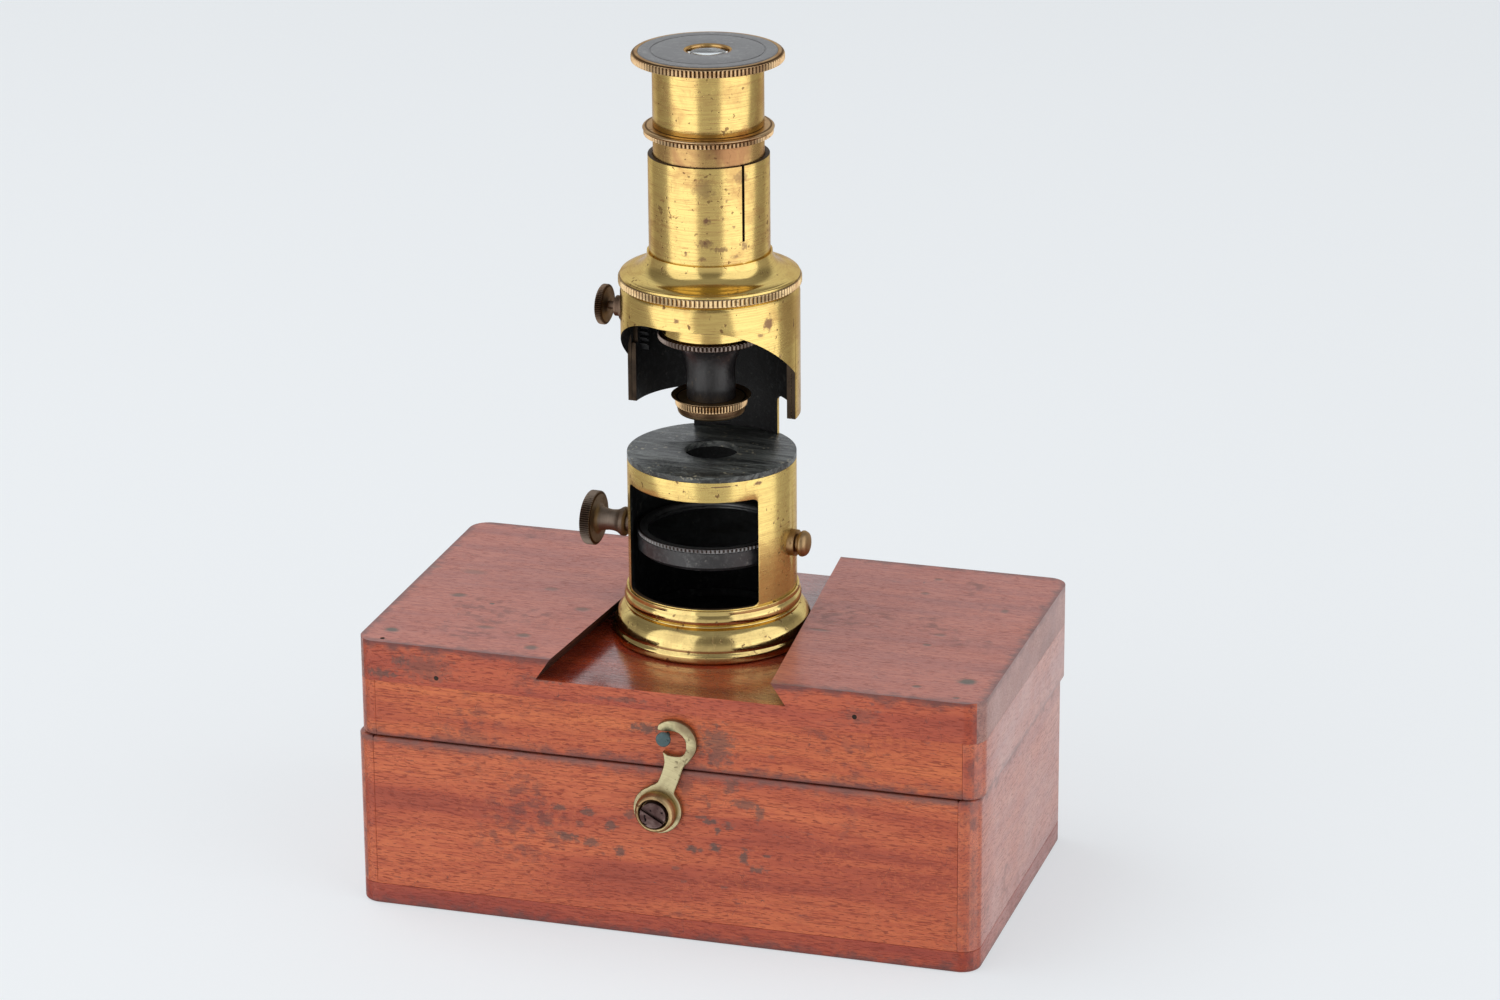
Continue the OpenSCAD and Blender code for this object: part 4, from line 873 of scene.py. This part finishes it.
# ---- Foot, drum and mirror ----

def curve(middle, radii, start, stop, step):
    """Points of a lathe outline on an ellipse, from one angle to another in degrees."""
    turns = [math.radians(a) for a in range(start, stop, step)]
    return [(middle[0] + radii[0] * math.cos(t), middle[1] + radii[1] * math.sin(t), 0) for t in turns]


def inside_foot(middle, normal):
    """True inside the drum's socket, which the window shows; these faces are painted black as painted shade.
    """
    return math.hypot(middle.x, middle.y) < 17.2 and middle.z > 1


turned("bell_foot",
       [(0, 0, 0), (20.1, 0, 0.2), (20.6, 0.5, 0.25), (20.6, 1.7, 0.25), (20.25, 2.1, 0.1),
        (20.02, 2.35, 0.06)] + curve((16.6, 1.6), (3.55, 5.3), 12, 77, 4)
       + [(17.5, 6.8, 0.05), (17.95, 6.9, 0.12), (17.95, 7.2, 0.12), (17.74, 7.3, 0.03)]
       + curve((16.15, 8.3), (1.85, 1.85), -32, 41, 8)
       + [(17.55, 9.6, 0.05), (17.55, 10.4, 0.12), (17.15, 10.4, 0), (17.15, 3, 0), (15.55, 3, 0),
          (15.55, 1.5, 0), (0, 1.5, 0)],
       "foot", foot_brass, paints=[(black_inside_and_shade, inside_foot)])
softened("drum_tube", "drum", 0.0001, drum_brass, paints=TUBE_PAINTS)
softened("stage_plate", "stage", 0.00015, stage_black)
turned("knob_of_mirror",
       [(0.75, 18.35, 0), (2.6, 18.35), (3, 18.8), (3, 19.5, 0.2), (2.3, 20.5, 0.5), (2.1, 22.1, 0.5),
        (2.45, 24.2, 0.3), (3.2, 24.8, 0.2), (5.0, 24.8, 0.3), (5.6, 25.1, 0.1), (5.6, 26.9, 0.1),
        (5.1, 27.2, 0.2), (4.4, 27.1), (3.6, 26.9), (0, 26.9), (0, 26.8), (0.75, 26.8, 0)],
       "mirror_knob", mirror_bronze, AT_MIRROR @ ON_LEFT, knurl=(72, 0.4, 24.95, 27.1))
turned("pivot_screw_head",
       [(0, 14.2), (0.75, 14.2, 0), (0.75, 18.35, 0), (1.9, 18.4, 0.1), (1.9, 18.95, 0.1), (2.6, 19.15, 0.2),
        (2.7, 19.65, 0.2), (2.3, 20.55, 0.4), (1.2, 20.85, 0.3), (0, 20.85, 0)],
       "pivot_screw", pivot_brass, AT_MIRROR @ ON_RIGHT, steps=64, closed=False)
turned("bezel",
       [(13.2, 0.85), (15.1, 0.85), (15.3, 1.0, 0.05), (15.3, 1.6, 0.05), (15.0, 1.75), (13.6, 1.75),
        (13.2, 1.3)],
       "mirror_bezel", bezel_black, AT_MIRROR, knurl=(108, 0.34, 0.88, 1.72))


# ---- Focusing shell ----

softened("upper_shell", "shell", 0.00012, brass, paints=TUBE_PAINTS)
turned("cap_of_shell",
       [(17.18, 74.06, 0), (17.95, 74.06), (18.33, 74.4, 0.1), (18.33, 75.7, 0.1), (17.95, 75.95, 0.1),
        (18.02, 76.15, 0.1), (17.9, 76.42, 0.15), (17.5, 76.5, 0.1), (17.35, 76.62, 0.05),
        (16.95, 76.8, 0.2)] + curve((16.9, 80.85), (4.4, 3.9), 264, 179, -6)
       + [(12.1, 80.85, 0.05), (12.1, 75.2, 0), (17.18, 75.2, 0)],
       "shell_cap", polished_brass, knurl=(124, 0.34, 74.3, 75.8),
       paints=[(rim_metal("knurled brass of the cap", UPRIGHT, (18.33, 0.34), (0.74, 0.56, 0.31)),
                lambda middle, normal: middle.z < 75.96 and math.hypot(middle.x, middle.y) > 17.6)])
softened("sleeve", "slit_sleeve", 0.0001, brass_tube, paints=TUBE_PAINTS)
turned("knob_of_pinion",
       [(0.8, 21.98, 0), (0.8, 21.7, 0), (1.5, 21.7), (2.4, 21.9), (3.6, 22.0), (4.1, 22.3, 0.1),
        (4.1, 23.3, 0.1), (3.7, 23.58), (2.6, 23.4), (0, 23.5, 0)],
       "focus_knob", pinion_bronze, AT_PINION @ ON_LEFT, closed=False, knurl=(60, 0.35, 22.05, 23.5))


# ---- Draw tube, objective and eyepiece ----

softened("draw_tube", "inner_draw_tube", 0.0001, draw_brass, paints=TUBE_PAINTS)
turned("ring_of_draw_tube",
       [(10.3, 104.72, 0), (12.2, 104.72), (12.85, 104.9, 0.1), (12.85, 105.75, 0.05), (12.45, 105.85, 0.05),
        (12.95, 105.98, 0.08), (13.1, 106.2, 0.1), (12.85, 106.45, 0.1), (12.1, 106.6), (11.15, 106.6),
        (10.3, 106.6, 0)],
       "draw_tube_ring", rim_metal("knurled brass of the ring", UPRIGHT, (12.85, 0.4)),
       knurl=(92, 0.4, 104.76, 105.82))
softened("nosepiece", "nose", 0.00015, brass)
turned("ring_of_objective",
       [(4.2, 62.3), (9.4, 62.3), (10.3, 62.55), (10.6, 62.8, 0.05), (10.6, 63.6, 0.05), (10.3, 63.8),
        (4.2, 63.8)],
       "objective_ring", ring_black, knurl=(74, 0.4, 62.62, 63.72))
softened("objective_body", "barrel_of_objective", 0.00012, objective_black)
turned("cap_of_objective",
       [(2.4, 46.8), (6.3, 46.8, 0.2), (6.7, 47.15, 0.2), (6.95, 48.35, 0.1), (6.85, 48.5, 0.04),
        (7.2, 48.65, 0.08), (7.3, 50.1, 0.08), (7.4, 50.25, 0.04), (7.9, 50.35, 0.06), (8.1, 50.55, 0.06),
        (7.85, 50.7, 0.05), (7.3, 50.15), (4.62, 50.1, 0), (4.62, 48.4, 0), (3.2, 48.4, 0), (3.2, 47.4, 0),
        (2.4, 47.4)],
       "objective_cap", rim_metal("knurled brass of the objective", UPRIGHT, (7.3, 0.36)),
       knurl=(68, 0.36, 48.62, 50.2))
softened("eyepiece_tube", "tube_of_eyepiece", 0.0001, brass_tube, paints=TUBE_PAINTS)
turned("rim_of_eyepiece",
       [(4.7, 119.75), (14.7, 119.75), (15.1, 119.85, 0.1), (15.15, 120.1, 0.1), (15.15, 121.0, 0.25),
        (14.85, 121.4, 0.25), (14.4, 121.6, 0.2), (13.82, 121.58, 0.05), (13.82, 120.5, 0), (4.7, 120.5, 0)],
       "eyepiece_rim", rim_metal("knurled brass of the eyepiece", UPRIGHT, (15.15, 0.4)),
       knurl=(110, 0.4, 119.78, 121.25))
turned("disc_of_eyepiece",
       [(4.7, 120.5, 0), (13.78, 120.5, 0), (13.78, 121.55, 0), (13.55, 121.7, 0.08), (11.48, 121.7, 0.03),
        (11.4, 121.55, 0.03), (11.2, 121.55, 0.03), (11.12, 121.7, 0.03), (4.75, 121.7, 0.03),
        (4.7, 121.64, 0.03), (4.3, 121.58, 0.1), (4.2, 121.2, 0.05), (4.2, 120.8, 0), (4.7, 120.8, 0)],
       "eyepiece_disc", disc_black,
       paints=[(draw_brass, lambda middle, normal: math.hypot(middle.x, middle.y) < 4.75)])
turned("lens_of_eye",
       [(0, 118.6, 0), (2.35, 118.9, 0), (4.7, 119.75, 0), (4.7, 120.5, 0)]
       + curve((0, 120.85), (4.15, 0.75), 10, 81, 10) + [(0, 121.6, 0)],
       "eye_lens", lens_glass, steps=96, closed=False)


# ---- Floor, light and camera ----

FLOOR_HALF = 20
FLOOR_GLOW = 0.58
BACKDROP = (0.79, 0.82, 0.845)
PAPER = (0.84, 0.87, 0.895)
# What shiny faces see of the room: towards the camera, beside it, higher up and overhead
ROOM_FRONT = (0.58, 0.57, 0.55)
ROOM_SIDES = (0.40, 0.385, 0.37)
ROOM_HIGH = (0.22, 0.21, 0.20)
ROOM_CEILING = (0.34, 0.34, 0.34)
SOFT_LIGHT = (0.46, 0.47, 0.48)

floor_mesh = bmesh.new()
bmesh.ops.create_grid(floor_mesh, x_segments=1, y_segments=1, size=FLOOR_HALF)
floor_data = bpy.data.meshes.new("floor")
floor_mesh.to_mesh(floor_data)
floor_mesh.free()
floor = add_object("floor", floor_data)
floor.visible_glossy = False
floor_material, floor_tree = new_material("pale floor")
floor_tint = noise(floor_tree, node(floor_tree, "ShaderNodeTexCoord").outputs["Object"], 1.5, 1.0)
floor_shader = node(floor_tree, "ShaderNodeBsdfDiffuse", {
    "Color": blend(floor_tree, floor_tint, (0.86, 0.89, 0.92), (0.88, 0.91, 0.93))})
floor_glow = node(floor_tree, "ShaderNodeEmission", {"Color": PAPER, "Strength": 1.0})
seen_by_camera = node(floor_tree, "ShaderNodeLightPath").outputs["Is Camera Ray"]
floor_mix = node(floor_tree, "ShaderNodeMixShader", {0: times(floor_tree, seen_by_camera, FLOOR_GLOW),
                                                     1: floor_shader.outputs[0], 2: floor_glow.outputs[0]})
node(floor_tree, "ShaderNodeOutputMaterial", {"Surface": floor_mix.outputs[0]})
floor_data.materials.append(floor_material)


def direction(turn, rise):
    """A unit vector from the object, turned from the front and raised, in radians."""
    return Vector((math.sin(turn) * math.cos(rise), -math.cos(turn) * math.cos(rise), math.sin(rise)))


def softbox(name, turn, rise, distance, width, height, level, seen=True):
    """A rectangular lamp that faces the instrument; turn and rise (degrees) count from the camera's
    side, and level is how bright its face looks."""
    lamp = bpy.data.lights.new(name, "AREA")
    lamp.shape = "RECTANGLE"
    lamp.size, lamp.size_y = width, height
    lamp.energy = level * math.pi * width * height
    obj = add_object(name, lamp)
    away = direction(CAMERA_TURN + math.radians(turn), math.radians(rise))
    obj.location = Vector((0, 0, 0.1)) + away * distance
    obj.rotation_mode = "QUATERNION"
    obj.rotation_quaternion = away.to_track_quat("Z", "Y")
    obj.visible_camera = False
    obj.visible_glossy = seen


softbox("left softbox", -52, 3, 1.0, 1.15, 2.8, 1.0)
softbox("right softbox", 59.5, 3, 1.0, 1.35, 2.8, 1.0)
softbox("top softbox", -115, 62, 1.4, 1.0, 1.0, 2.1, seen=False)

world = bpy.data.worlds.new("studio")
bpy.context.scene.world = world
world.use_nodes = True
sky = world.node_tree
sky.nodes.clear()
look = node(sky, "ShaderNodeTexCoord").outputs["Generated"]
facing = vector(sky, "DOT_PRODUCT", look, tuple(direction(CAMERA_TURN, 0)))
height = parts_of(sky, look)[2]
room = layered(sky, ROOM_SIDES, (fade(sky, facing, -0.2, 0.4), ROOM_FRONT),
               (fade(sky, height, 0.12, 0.45), ROOM_HIGH), (fade(sky, facing, -0.56, -0.74), BACKDROP),
               (fade(sky, height, 0.60, 0.92), ROOM_CEILING))
path = node(sky, "ShaderNodeLightPath").outputs
shiny = larger(sky, path["Is Glossy Ray"], path["Is Transmission Ray"])
light = layered(sky, SOFT_LIGHT, (shiny, room), (path["Is Camera Ray"], BACKDROP))
node(sky, "ShaderNodeOutputWorld",
     {"Surface": node(sky, "ShaderNodeBackground", {"Color": light, "Strength": 1.0}).outputs[0]})

# The camera's lens and place (millimetres to its right, up and back) were fitted to the photo
LENS = 121.04
SENSOR = 36
CAMERA_PLACE = (7.0641, 76.1714, 1046.567)

lens = bpy.data.cameras.new("camera")
lens.lens = LENS
lens.sensor_width = SENSOR
lens.clip_start, lens.clip_end = 0.05, 50
camera = add_object("camera", lens)
right = Vector((math.cos(CAMERA_TURN), math.sin(CAMERA_TURN), 0))
back = direction(CAMERA_TURN, CAMERA_RISE)
up = back.cross(right)
rolled_right = math.cos(CAMERA_ROLL) * right + math.sin(CAMERA_ROLL) * up
rolled_up = -math.sin(CAMERA_ROLL) * right + math.cos(CAMERA_ROLL) * up
camera_turn = Matrix((rolled_right, rolled_up, back)).transposed()
camera.matrix_world = Matrix.Translation(camera_turn @ Vector(CAMERA_PLACE) * MM) @ camera_turn.to_4x4()
bpy.context.scene.camera = camera
bpy.context.scene.view_settings.view_transform = "Standard"
